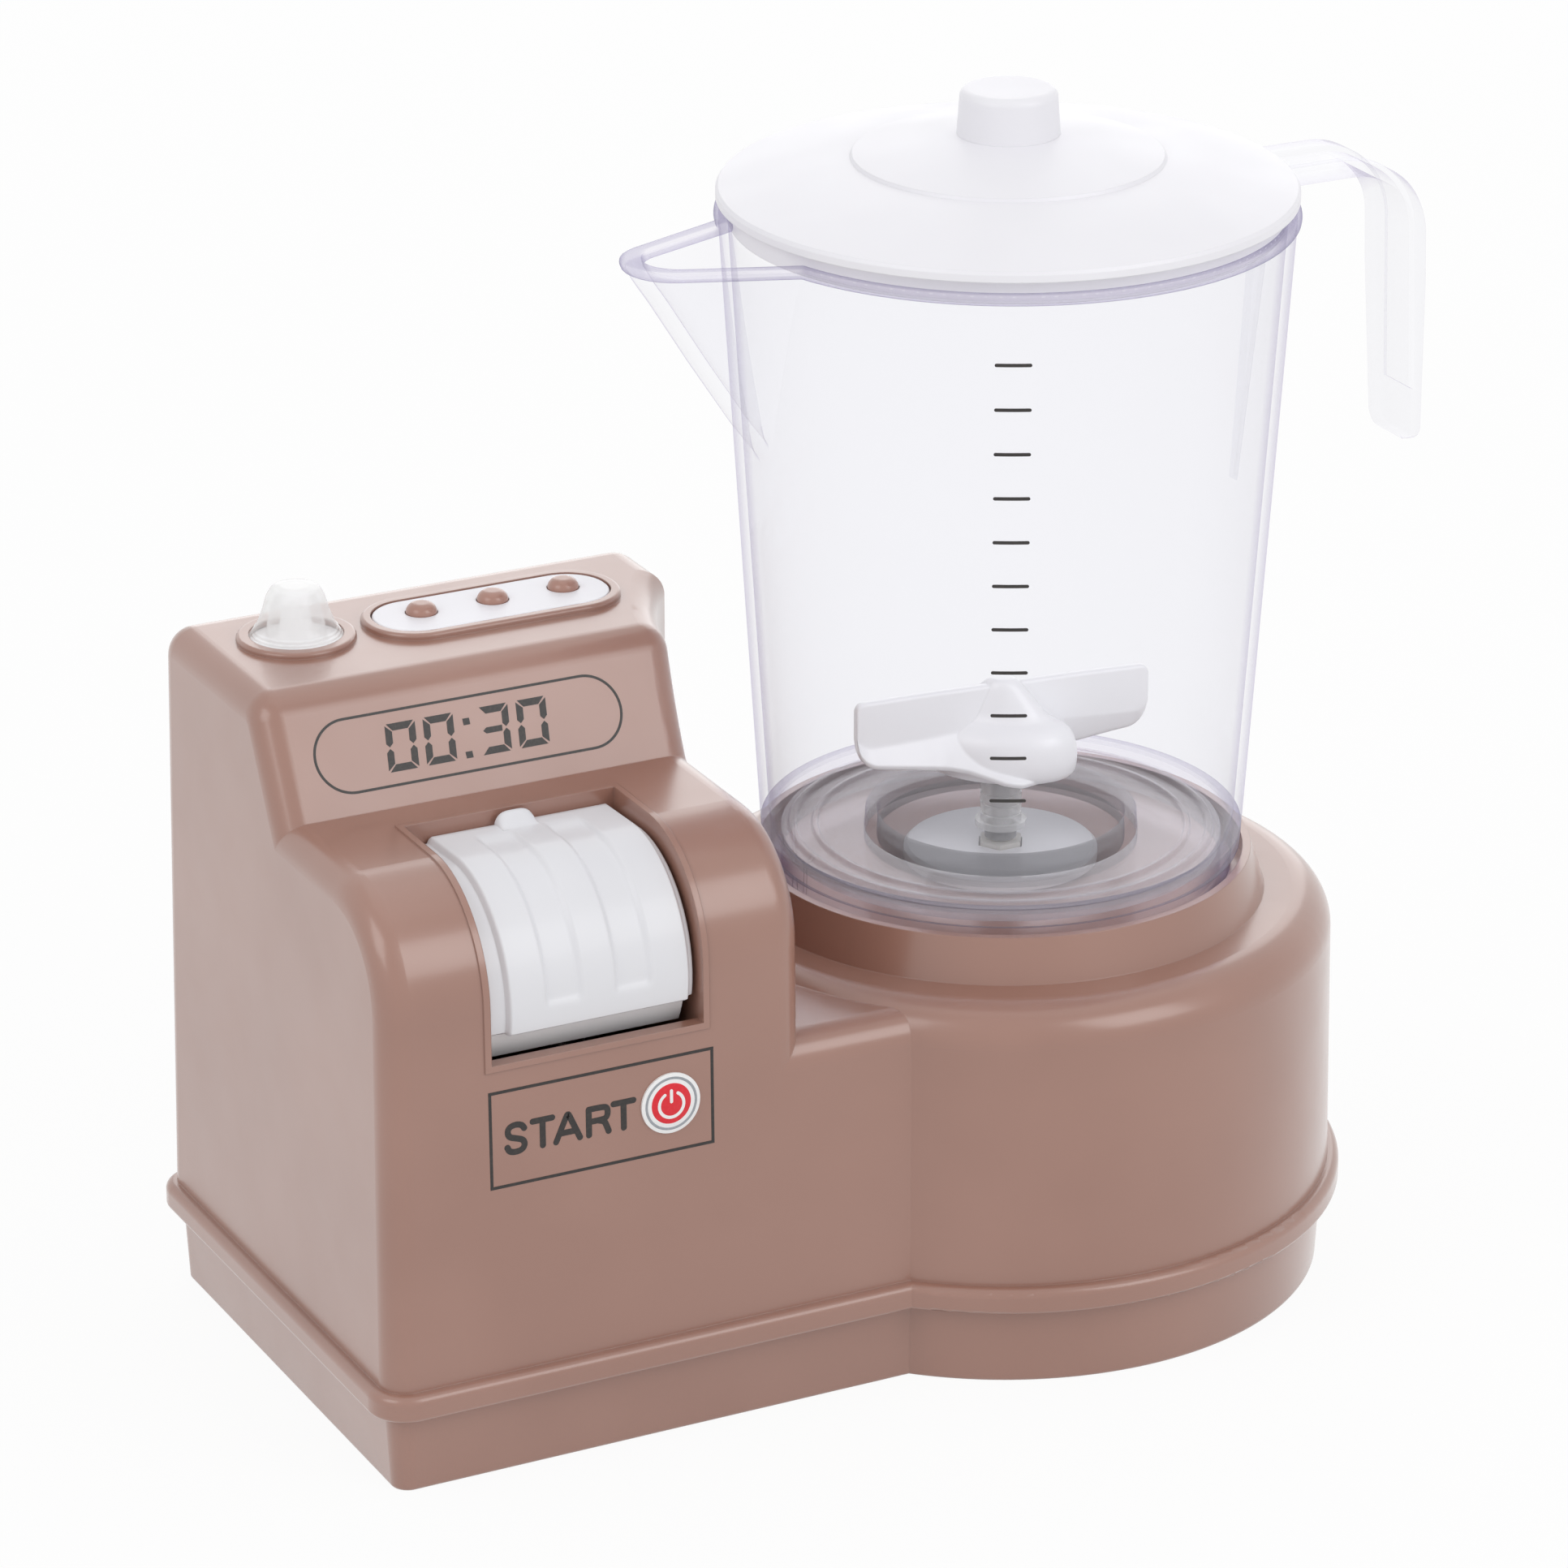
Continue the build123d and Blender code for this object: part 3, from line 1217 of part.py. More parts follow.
# ---------------------------------------------------------------- lid
under_edge_z = lid_low_z + 0.05
under_disc_z = knob_low_z - lid_t
with BuildPart() as lid:
    with BuildSketch(Plane.XZ):
        with BuildLine():
            Line((0, knob_top_z), (knob_r - 0.5, knob_top_z))
            Line((knob_r - 0.5, knob_top_z), (knob_r, knob_low_z))
            Spline(
                (knob_r, knob_low_z),
                ((knob_r + lid_disc_r) / 2, knob_low_z - 0.4 * lid_disc_rise),
                (lid_disc_r - 0.3, lid_disc_z + lid_disc_step),
            )
            Line((lid_disc_r - 0.3, lid_disc_z + lid_disc_step), (lid_disc_r, lid_disc_z))
            Spline(
                (lid_disc_r, lid_disc_z),
                ((lid_disc_r + lid_r) / 2, lid_disc_z - 0.41 * (lid_disc_z - lid_edge_z)),
                (lid_r - 0.4, lid_edge_z),
            )
            Polyline(
                (lid_r - 0.4, lid_edge_z),
                (lid_r, lid_edge_z - 0.6),
                (lid_r, lid_low_z),
                (lid_skirt_r, lid_low_z),
                (lid_skirt_r, lid_low_z - lid_skirt_h),
                (lid_skirt_r - lid_t, lid_low_z - lid_skirt_h),
                (lid_skirt_r - lid_t, under_edge_z),
            )
            Spline(
                (lid_skirt_r - lid_t, under_edge_z),
                (0.7 * lid_r, under_edge_z + 0.42 * (under_disc_z - under_edge_z)),
                (2 * knob_r, under_edge_z + 0.82 * (under_disc_z - under_edge_z)),
                (knob_r - lid_t, under_disc_z),
            )
            Polyline(
                (knob_r - lid_t, under_disc_z),
                (knob_r - 0.5 - lid_t, knob_top_z - lid_t),
                (0, knob_top_z - lid_t),
                (0, knob_top_z),
            )
        make_face()
    revolve(axis=Axis.Z)
    fillet(lid.faces().sort_by(Axis.Z)[-1].edges(), radius=1.4)
lid.part.label = "lid"
export_step(lid.part, "parts/lid.step")

# ---------------------------------------------------------------- lever
with BuildPart() as start_lever:
    for half, drop in ((cover_half, cover_step), (cover_band_half, 0)):
        with BuildSketch(Plane.YZ.offset(lever_x - half)):
            add(cover_section(drop, cover_t))
        extrude(amount=2 * half)
    # finger tab, standing up from the rear edge
    with BuildSketch(Plane.XZ.offset(-cover_rear_y)):
        with Locations((lever_x + tab_off, cover_rear_z + tab_rise / 2 - 1)):
            tab = Rectangle(tab_w, tab_rise + 2)
        fillet(tab.vertices().group_by(Axis.Y)[-1], radius=tab_corner)
    extrude(amount=tab_t)
    # two sunk tracks from the rear edge down
    for side in (-1, 1):
        with BuildSketch(Plane.YZ.offset(lever_x + side * track_off - 0.5 - track_w / 2)):
            add(cover_section(-1, track_depth, track_low))
        extrude(amount=track_w, mode=Mode.SUBTRACT)
start_lever.part.label = "start_lever"
export_step(start_lever.part, "parts/start_lever.step")

with BuildPart() as lever_rocker:
    with BuildSketch(Plane.YZ.offset(lever_x - rocker_half)):
        add(lever_sector(rocker_r, rocker_r - rocker_t, rocker_low, rocker_high))
    extrude(amount=2 * rocker_half)
    for side in (-1, 1):
        with BuildSketch(Plane.YZ.offset(lever_x + side * (rocker_half - 2) - 0.8)):
            add(lever_sector(rocker_r - 1, pin_boss_r - 1, rocker_low, rocker_high))
            with Locations((lever_y, lever_z)):
                Circle(pin_boss_r)
        extrude(amount=1.6)
    with BuildSketch(Plane.YZ.offset(lever_x - rocker_half)):
        with Locations((lever_y, lever_z)):
            Circle(pin_boss_r)
    extrude(amount=2 * rocker_half)
    # pad that the spring pushes on
    pad_z = lever_z + (spring_y - lever_y) * tan(radians(-rocker_low)) + 1.6
    with Locations((lever_x, spring_y, pad_z)):
        Box(2 * rocker_half - 3, 7, 1.4, align=UP)
    with BuildSketch(Plane.YZ.offset(lever_x - rocker_half)):
        with Locations((lever_y, lever_z)):
            Circle(pin_r + running_gap)
    extrude(amount=2 * rocker_half, mode=Mode.SUBTRACT)
lever_rocker.part.label = "lever_rocker"
export_step(lever_rocker.part, "parts/lever_rocker.step")

with BuildPart() as lever_pin:
    with BuildSketch(Plane.YZ.offset(lever_x - slot_half - 3)):
        with Locations((lever_y, lever_z)):
            Circle(pin_r)
    extrude(amount=2 * (slot_half + 3))
    chamfer(lever_pin.faces().filter_by(Axis.X).edges(), length=0.3)
lever_pin.part.label = "lever_pin"
export_step(lever_pin.part, "parts/lever_pin.step")

spring_len = pad_z - ledge_top_z
with BuildPart() as lever_spring:
    pitch = (spring_len - 2 * spring_wire_r - 0.1) / spring_turns
    with BuildLine():
        coil = Helix(pitch, pitch * spring_turns, spring_r)
    with BuildSketch(Plane(coil @ 0, z_dir=coil % 0)):
        RegularPolygon(spring_wire_r, 6)
    sweep(path=coil, is_frenet=True)
lever_spring.part.position = (lever_x, spring_y, ledge_top_z + spring_wire_r + 0.05)
lever_spring.part.label = "lever_spring"
export_step(lever_spring.part, "parts/lever_spring.step")

with BuildPart() as lever_switch:
    with Locations((lever_x + 9, spring_y, ledge_top_z)):
        Box(6, 6, 2.4, align=UP)
    with Locations((lever_x + 9, spring_y, ledge_top_z + 2.4)):
        Cylinder(1.7, 0.8, align=UP)
lever_switch.part.label = "lever_switch"
export_step(lever_switch.part, "parts/lever_switch.step")

# ---------------------------------------------------------------- buttons, board and lamp
with BuildPart() as button_plate:
    with BuildSketch(Plane.XY.offset(seat_z)):
        with Locations((plate_x, plate_y)):
            RectangleRounded(plate_l, plate_w, plate_corner)
        with Locations(*buttons_at):
            Circle(button_r + button_gap, mode=Mode.SUBTRACT)
    extrude(amount=plate_t)
    fillet(button_plate.faces().sort_by(Axis.Z)[-1].outer_wire().edges(), radius=0.4)
button_plate.part.label = "button_plate"
export_step(button_plate.part, "parts/button_plate.step")

button_low_z = top_under_z - 0.3 - button_flange_t
dome_h = button_low_z - board_top_z - 0.05


def push_button(x):
    """A domed button with a flange below the housing's top."""
    with BuildPart() as button:
        with Locations((x, button_y, button_low_z)):
            Cylinder(button_flange_r, button_flange_t, align=UP)
            Cylinder(button_r, plate_top_z + button_rise - button_low_z, align=UP)
        fillet(button.faces().sort_by(Axis.Z)[-1].edges(), radius=1.6)
    return button.part


def rubber_dome(x):
    """A rubber return dome between a button and the board."""
    with BuildPart() as dome:
        with Locations((x, button_y, board_top_z)):
            Cylinder(dome_r, 0.8, align=UP)
            Cone(dome_r - 0.2, dome_r - 1.0, dome_h, align=UP)
            Cone(dome_r - 0.9, dome_r - 1.8, dome_h - 1.2, align=UP, mode=Mode.SUBTRACT)
    return dome.part


with BuildPart() as button_1:
    add(push_button(buttons_at[0][0]))
button_1.part.label = "button_1"
export_step(button_1.part, "parts/button_1.step")

with BuildPart() as button_2:
    add(push_button(buttons_at[1][0]))
button_2.part.label = "button_2"
export_step(button_2.part, "parts/button_2.step")

with BuildPart() as button_3:
    add(push_button(buttons_at[2][0]))
button_3.part.label = "button_3"
export_step(button_3.part, "parts/button_3.step")

with BuildPart() as button_dome_1:
    add(rubber_dome(buttons_at[0][0]))
button_dome_1.part.label = "button_dome_1"
export_step(button_dome_1.part, "parts/button_dome_1.step")

with BuildPart() as button_dome_2:
    add(rubber_dome(buttons_at[1][0]))
button_dome_2.part.label = "button_dome_2"
export_step(button_dome_2.part, "parts/button_dome_2.step")

with BuildPart() as button_dome_3:
    add(rubber_dome(buttons_at[2][0]))
button_dome_3.part.label = "button_dome_3"
export_step(button_dome_3.part, "parts/button_dome_3.step")

with BuildPart() as circuit_board:
    with BuildSketch(Plane.XY.offset(board_z)):
        with Locations((board_x, board_y)):
            Rectangle(board_l, board_w)
        with Locations(*board_screws_at):
            Circle(screw_hole_r, mode=Mode.SUBTRACT)
    extrude(amount=board_t)
    # sound and timer chip below the board, and its two capacitors
    with Locations((board_x + 4, board_y, board_z - 1.6)):
        Box(14, 10, 1.6, align=UP)
    with Locations((board_x - 6, board_y + 8, board_z - 7), (board_x + 18, board_y - 8, board_z - 7)):
        Cylinder(2.5, 7, align=UP)
circuit_board.part.label = "circuit_board"
export_step(circuit_board.part, "parts/circuit_board.step")

with BuildPart() as board_screws:
    add(screw_set(board_screws_at, board_z, screw_len - 2))
board_screws.part.label = "board_screws"
export_step(board_screws.part, "parts/board_screws.step")

with BuildPart() as lamp_led:
    with Locations((lamp_x, lamp_y, board_top_z)):
        Cylinder(led_r + 0.5, 1, align=UP)
        Cylinder(led_r, tower_top_z + 4.4 - board_top_z, align=UP)
    fillet(lamp_led.faces().sort_by(Axis.Z)[-1].edges(), radius=2.2)
lamp_led.part.label = "lamp_led"
export_step(lamp_led.part, "parts/lamp_led.step")

with BuildPart() as lamp_lens:
    with BuildSketch(Plane.XZ):
        with BuildLine():
            Polyline((lamp_foot_r, 0), (lamp_foot_r, 1.0), (lamp_foot_r - 0.6, 1.5), (6.5, 1.7))
            Spline(
                (6.5, 1.7),
                (6.1, 2.9),
                (5.3, 5.4),
                (4.4, 7.8),
                (2.6, lamp_h - 0.35),
                (0, lamp_h),
                tangents=((0, 1), (-1, 0)),
            )
            Line((0, lamp_h), (0, lamp_h - lamp_t))
            Spline(
                (0, lamp_h - lamp_t),
                (2.2, lamp_h - lamp_t - 0.3),
                (3.4, 6.6),
                (4.2, 4.6),
                (4.9, 0),
                tangents=((1, 0), (0, -1)),
            )
            Line((4.9, 0), (lamp_foot_r, 0))
        make_face()
    revolve(axis=Axis.Z)
lamp_lens.part.position = (lamp_x, lamp_y, tower_top_z)
lamp_lens.part.label = "lamp_lens"
export_step(lamp_lens.part, "parts/lamp_lens.step")
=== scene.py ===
# %% [markdown]
# # A toy blender
# The base is a moulded shell with a control tower on its left and a round drum on its
# right. A clear jug with a spout, a strap handle and a white lid stands on the drum, and
# a white impeller turns inside it. The mechanical parts come as a fixed frame, with every
# moving body at rest, and this script gives them their finish and their fine shapes.

import math

import bmesh
import bpy
import numpy as np
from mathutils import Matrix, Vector


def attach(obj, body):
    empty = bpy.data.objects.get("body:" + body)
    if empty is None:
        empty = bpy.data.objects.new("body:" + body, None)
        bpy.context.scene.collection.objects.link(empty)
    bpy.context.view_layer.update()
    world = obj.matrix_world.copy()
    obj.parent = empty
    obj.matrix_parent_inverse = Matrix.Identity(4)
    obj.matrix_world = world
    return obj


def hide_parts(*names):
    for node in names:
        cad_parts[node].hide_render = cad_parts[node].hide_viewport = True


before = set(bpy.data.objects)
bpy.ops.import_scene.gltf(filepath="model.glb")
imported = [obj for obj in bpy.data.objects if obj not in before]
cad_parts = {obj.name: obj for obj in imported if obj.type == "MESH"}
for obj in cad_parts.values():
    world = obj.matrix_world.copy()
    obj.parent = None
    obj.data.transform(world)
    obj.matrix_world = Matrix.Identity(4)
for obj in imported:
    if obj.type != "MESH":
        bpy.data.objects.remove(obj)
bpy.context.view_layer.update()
MM = 0.001

# %% [markdown]
# ## Colour and shader nodes
# Colours are written as hex values, the way a paint card gives them, and turned to the
# linear light that a renderer adds up. One function adds a shader node and wires it, so
# each material below reads from top to bottom, in the order that light meets it.

# %% Colour and shader nodes
def paint(code):
    """An sRGB hex colour as linear red, green, blue and alpha: each channel c becomes
    c / 12.92 below 0.04045, and ((c + 0.055) / 1.055) to the power 2.4 above it."""
    c = np.array([int(code[i:i + 2], 16) for i in (1, 3, 5)]) / 255
    c = np.where(c <= 0.04045, c / 12.92, ((c + 0.055) / 1.055) ** 2.4)
    return (*c.tolist(), 1.0)


def add_node(tree, kind, inputs=None, links=None, **settings):
    """Adds a shader node, sets its settings and its sockets, and links sockets to it."""
    made = tree.nodes.new(kind)
    for key, value in settings.items():
        setattr(made, key, value)
    for key, value in (inputs or {}).items():
        made.inputs[key].default_value = value
    for key, socket in (links or {}).items():
        tree.links.new(socket, made.inputs[key])
    return made


def new_material(name):
    """An empty node material, and its tree."""
    material = bpy.data.materials.new(name)
    material.use_nodes = True
    material.node_tree.nodes.clear()
    return material, material.node_tree


# %% [markdown]
# ## The moulded plastics
# The base is ABS, the plastic of most toys: it is moulded in a polished steel tool, so it
# comes out smooth under a clear, wet-looking gloss, with a faint unevenness where it
# shrank as it cooled. It could be one flat colour, but then the eye has no scale. So a
# broad cloud, 30 mm across, shades the colour by a few percent, a finer one varies the
# gloss as handling does, and ripples 0.9 mm apart, drawn coarser than the real orange
# peel so that they show at all, disturb the bump. The Bevel node rounds the look of every
# sharp edge by a quarter of a millimetre, because no moulded edge is a knife.

# %% Moulded plastics
def moulded(name, low, high, roughness, coat, edge=0.25, gloss=0.07):
    """Plastic from a polished mould. low and high are the shades that the cloud mixes,
    roughness is the plastic's own, coat the weight of its polished skin and gloss that
    skin's roughness, and edge the radius in millimetres that the shading gives to sharp
    edges."""
    material, tree = new_material(name)
    place = add_node(tree, "ShaderNodeTexCoord")
    cloud = add_node(tree, "ShaderNodeTexNoise", {"Scale": 1 / 0.030, "Detail": 2.0},
                     {"Vector": place.outputs["Object"]})
    shade = add_node(tree, "ShaderNodeValToRGB", None, {"Fac": cloud.outputs["Fac"]})
    for stop, (at, colour) in zip(shade.color_ramp.elements, ((0.35, low), (0.65, high))):
        stop.position = at
        stop.color = paint(colour)
    handling = add_node(tree, "ShaderNodeTexNoise", {"Scale": 1 / 0.012, "Detail": 3.0},
                        {"Vector": place.outputs["Object"]})
    rough = add_node(tree, "ShaderNodeMapRange",
                     {"From Min": 0.3, "From Max": 0.7,
                      "To Min": roughness - 0.04, "To Max": roughness + 0.04},
                     {"Value": handling.outputs["Fac"]})
    ripple = add_node(tree, "ShaderNodeTexNoise", {"Scale": 1 / 0.0009, "Detail": 1.0},
                      {"Vector": place.outputs["Object"]})
    soft = add_node(tree, "ShaderNodeBevel", {"Radius": edge * MM}, samples=4)
    bump = add_node(tree, "ShaderNodeBump", {"Strength": 0.08, "Distance": 0.00005},
                    {"Height": ripple.outputs["Fac"], "Normal": soft.outputs["Normal"]})
    shader = add_node(tree, "ShaderNodeBsdfPrincipled",
                      {"IOR": 1.53, "Coat Weight": coat, "Coat Roughness": gloss},
                      {"Base Color": shade.outputs["Color"], "Roughness": rough.outputs["Result"],
                       "Normal": bump.outputs["Normal"], "Coat Normal": bump.outputs["Normal"]})
    add_node(tree, "ShaderNodeOutputMaterial", None, {"Surface": shader.outputs["BSDF"]})
    return material


rose_abs = moulded("moulded_rose_abs", "#9B7162", "#A07667", 0.32, 1.0, gloss=0.2)
button_abs = moulded("moulded_button_abs", "#A5796A", "#AA7E6F", 0.34, 0.6, 0.15)
white_abs = moulded("moulded_white_abs", "#EFEEF3", "#F2F1F6", 0.42, 0.05)
# painted light: a second white, lighter than the lid's, makes up for the shade that the lid and the
# jug's walls cast on the impeller and the drive disc; the lamp's column is drawn in it too
shade_lightened_white_abs = moulded("white_abs_painted_lighter_against_shade", "#F9F9FB", "#FCFCFE", 0.34, 0.3)
lever_abs = moulded("moulded_lever_abs", "#E3E3E7", "#E7E7EB", 0.42, 0.15, 0.15)
# painted light: the rocker band is drawn nearly white to make up for the shade that the cover's lip
# casts on it
rocker_abs_lightened_against_shade = moulded("rocker_white_painted_against_shade", "#FAFAFC", "#FDFDFE", 0.45, 0.1)
inner_abs = moulded("unpolished_inner_abs", "#D0CEC8", "#DAD8D2", 0.5, 0.0)
acetal = moulded("natural_acetal", "#E6E3DA", "#ECE9E1", 0.42, 0.0)
laminate = moulded("circuit_board_laminate", "#1F6A3A", "#24733F", 0.4, 0.3)
black_nylon = moulded("black_nylon", "#1B1B1B", "#222222", 0.45, 0.0)
cell_wrap = moulded("cell_wrapper", "#3A4048", "#454B54", 0.35, 0.3)
silicone = moulded("silicone_rubber", "#CFCFCB", "#D8D8D4", 0.6, 0.0)
print("plastics:", [m.name for m in bpy.data.materials])

# %% [markdown]
# ## Clear polystyrene
# The jug and the lamp's lens are clear polystyrene. It could be drawn as true glass, which
# bends what is behind it, but the walls are thin and even, so the eye sees straight
# through them and notices only three things: a gloss that grows where the wall turns
# away, a trace of lilac along edges, because the maker adds violet against yellowing, and
# lamps that light what is inside. A see-through shader with a glossy skin does just that.
# Layer Weight's Facing rises as the wall turns away, and both the lilac and the gloss
# follow it. Its Fresnel would not do: seen from inside the plastic it jumps to a full
# mirror at 35 degrees, and a thin wall shows its inside faces too.
# Clear pieces also cast no shadow. With shadows, the foot of the jug, where several clear
# layers lie one behind the other, comes out as a solid grey band that hides the drive disc
# below. Without them it stays clear, at the cost of the pale shadow of a real jug.

# %% Clear plastics
def clear_plastic(name, clear, edge, skin, roughness, least, most, bend=0.76):
    """Thin clear plastic. clear and edge colour what passes through it, face on and edge
    on, and bend is the Facing at which the edge's colour sets in. skin is the glossy
    surface's own colour, and least and most are its share."""
    material, tree = new_material(name)
    turn = add_node(tree, "ShaderNodeLayerWeight", {"Blend": 0.5})
    tint = add_node(tree, "ShaderNodeValToRGB", None, {"Fac": turn.outputs["Facing"]})
    for stop, (at, colour) in zip(tint.color_ramp.elements, ((bend, clear), (1.0, edge))):
        stop.position = at
        stop.color = paint(colour)
    through = add_node(tree, "ShaderNodeBsdfTransparent", None, {"Color": tint.outputs["Color"]})
    polish = add_node(tree, "ShaderNodeBsdfPrincipled",
                      {"Base Color": paint(skin), "Roughness": roughness, "IOR": 1.59,
                       "Coat Weight": 0.3, "Coat Roughness": 0.03})
    steep = add_node(tree, "ShaderNodeMath", {1: 3.0}, {0: turn.outputs["Facing"]},
                     operation="POWER")
    share = add_node(tree, "ShaderNodeMapRange", {"To Min": least, "To Max": most},
                     {"Value": steep.outputs[0]})
    both = add_node(tree, "ShaderNodeMixShader", None,
                    {0: share.outputs["Result"], 1: through.outputs["BSDF"],
                     2: polish.outputs["BSDF"]})
    add_node(tree, "ShaderNodeOutputMaterial", None, {"Surface": both.outputs["Shader"]})
    return material


clear_styrene = clear_plastic("clear_polystyrene",
                              "#FDFDFE", "#E0DCEA", "#F5F4F9", 0.06, 0.02, 0.32)
# a thick edge gathers more of the violet, and a floor's rings more of the white
edge_styrene = clear_plastic("thick_edge_polystyrene",
                             "#FAF9FC", "#9C95BC", "#F6F4FA", 0.06, 0.03, 0.42, bend=0.5)
floor_styrene = clear_plastic("ringed_floor_polystyrene",
                              "#FDFBFD", "#BBB3D0", "#FDFCFE", 0.08, 0.12, 0.75)
frosted_styrene = clear_plastic("frosted_polystyrene",
                                "#FEFEFE", "#EDECF0", "#FFFFFF", 0.14, 0.34, 0.8)
shadowless = (clear_styrene, edge_styrene, floor_styrene, frosted_styrene)
print("clear:", [material.name for material in shadowless])

# %% [markdown]
# ## Metals
# Inside are zinc-plated steel for screws and springs, ground steel for shafts, and brass
# for the bush and the pinion. They keep the default index and are fully metallic. Fine
# grinding marks, 0.3 mm apart, vary the roughness.

# %% Metals
def plain_metal(name, colour, roughness):
    """A metal whose roughness wavers with its grinding marks."""
    material, tree = new_material(name)
    place = add_node(tree, "ShaderNodeTexCoord")
    marks = add_node(tree, "ShaderNodeTexNoise", {"Scale": 1 / 0.0003, "Detail": 0.0},
                     {"Vector": place.outputs["Object"]})
    rough = add_node(tree, "ShaderNodeMapRange",
                     {"To Min": roughness - 0.06, "To Max": roughness + 0.06},
                     {"Value": marks.outputs["Fac"]})
    shader = add_node(tree, "ShaderNodeBsdfPrincipled",
                      {"Base Color": paint(colour), "Metallic": 1.0},
                      {"Roughness": rough.outputs["Result"]})
    add_node(tree, "ShaderNodeOutputMaterial", None, {"Surface": shader.outputs["BSDF"]})
    return material


zinc_steel = plain_metal("zinc_plated_steel", "#C9CACD", 0.3)
ground_steel = plain_metal("ground_steel", "#BFC0C4", 0.22)
turned_brass = plain_metal("turned_brass", "#CFA75A", 0.28)
print("metals:", zinc_steel.name, ground_steel.name, turned_brass.name)

# %% [markdown]
# ## Printing ink
# The digits, the frame lines and the lettering are pad printed: a silicone pad stamps a
# film of ink about 0.01 mm thick, which dries satin. A film that thin would flicker
# against the plastic, so each print below is a plate that stands 0.04 mm proud. Its ink
# has a fine mottle, 0.5 mm across, where the pad lifted unevenly.

# %% Inks
def printing_ink(name, colour, worn, roughness=0.42):
    """Satin ink that shades from colour to worn in small spots."""
    material, tree = new_material(name)
    place = add_node(tree, "ShaderNodeTexCoord")
    mottle = add_node(tree, "ShaderNodeTexNoise", {"Scale": 1 / 0.0005, "Detail": 2.0},
                      {"Vector": place.outputs["Object"]})
    shade = add_node(tree, "ShaderNodeValToRGB", None, {"Fac": mottle.outputs["Fac"]})
    for stop, (at, tone) in zip(shade.color_ramp.elements, ((0.45, colour), (0.8, worn))):
        stop.position = at
        stop.color = paint(tone)
    shader = add_node(tree, "ShaderNodeBsdfPrincipled", {"Roughness": roughness},
                      {"Base Color": shade.outputs["Color"]})
    add_node(tree, "ShaderNodeOutputMaterial", None, {"Surface": shader.outputs["BSDF"]})
    return material


black_ink = printing_ink("black_pad_ink", "#2B2726", "#39322F")
red_ink = printing_ink("red_pad_ink", "#E01A2C", "#E52A38", 0.35)
white_ink = printing_ink("white_pad_ink", "#F2F2F2", "#F6F6F6", 0.38)
grey_ink = printing_ink("grey_pad_ink", "#9A9EA4", "#A6AAB0")
print("inks:", black_ink.name, red_ink.name, white_ink.name, grey_ink.name)

# %% [markdown]
# ## Finishes of the frame's own parts
# Parts whose shape is right as it comes keep their mesh and only get a material.

# %% Which part has which finish
finish = {
    "upper_housing": rose_abs, "tray": rose_abs, "battery_door": rose_abs,
    "button_1": button_abs, "button_2": button_abs, "button_3": button_abs,
    "button_plate": white_abs, "start_lever": lever_abs, "impeller": shade_lightened_white_abs,
    "lid": white_abs, "drive_disc": shade_lightened_white_abs, "lever_rocker": rocker_abs_lightened_against_shade,
    "jug": clear_styrene, "lamp_lens": frosted_styrene, "lamp_led": frosted_styrene,
    "jug_bush": frosted_styrene, "jug_coupling": acetal, "output_gear": acetal,
    "idler_gear": acetal, "gear_plate": inner_abs, "motor_end_cap": inner_abs,
    "housing_screws": zinc_steel, "door_screw": zinc_steel, "gear_screws": zinc_steel,
    "board_screws": zinc_steel, "battery_contacts": zinc_steel, "lever_spring": zinc_steel,
    "motor_can": zinc_steel, "drive_shaft": ground_steel, "idler_pin": ground_steel,
    "motor_shaft": ground_steel, "impeller_shaft": ground_steel, "lever_pin": ground_steel,
    "shaft_bush": turned_brass, "motor_pinion": turned_brass, "circuit_board": laminate,
    "lever_switch": black_nylon, "speaker": black_nylon, "batteries": cell_wrap,
    "button_dome_1": silicone, "button_dome_2": silicone, "button_dome_3": silicone,
}
for name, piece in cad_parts.items():
    piece.data.materials.clear()
    piece.data.materials.append(finish[name])
print("finished nodes:", len(finish))

# %% [markdown]
# ## A skin over rows of points
# Every new piece is a sheet of points worked out at once with numpy: each row is a closed
# outline, and quads join a row to the next. A tube or blade ends in two outlines, which
# a fan closes. A ring has no ends, because its last row meets its first, as on a tyre.
# The alternative, extruding by hand in bmesh, hides the shape's formula in a history of
# steps, and a formula can be read and changed.

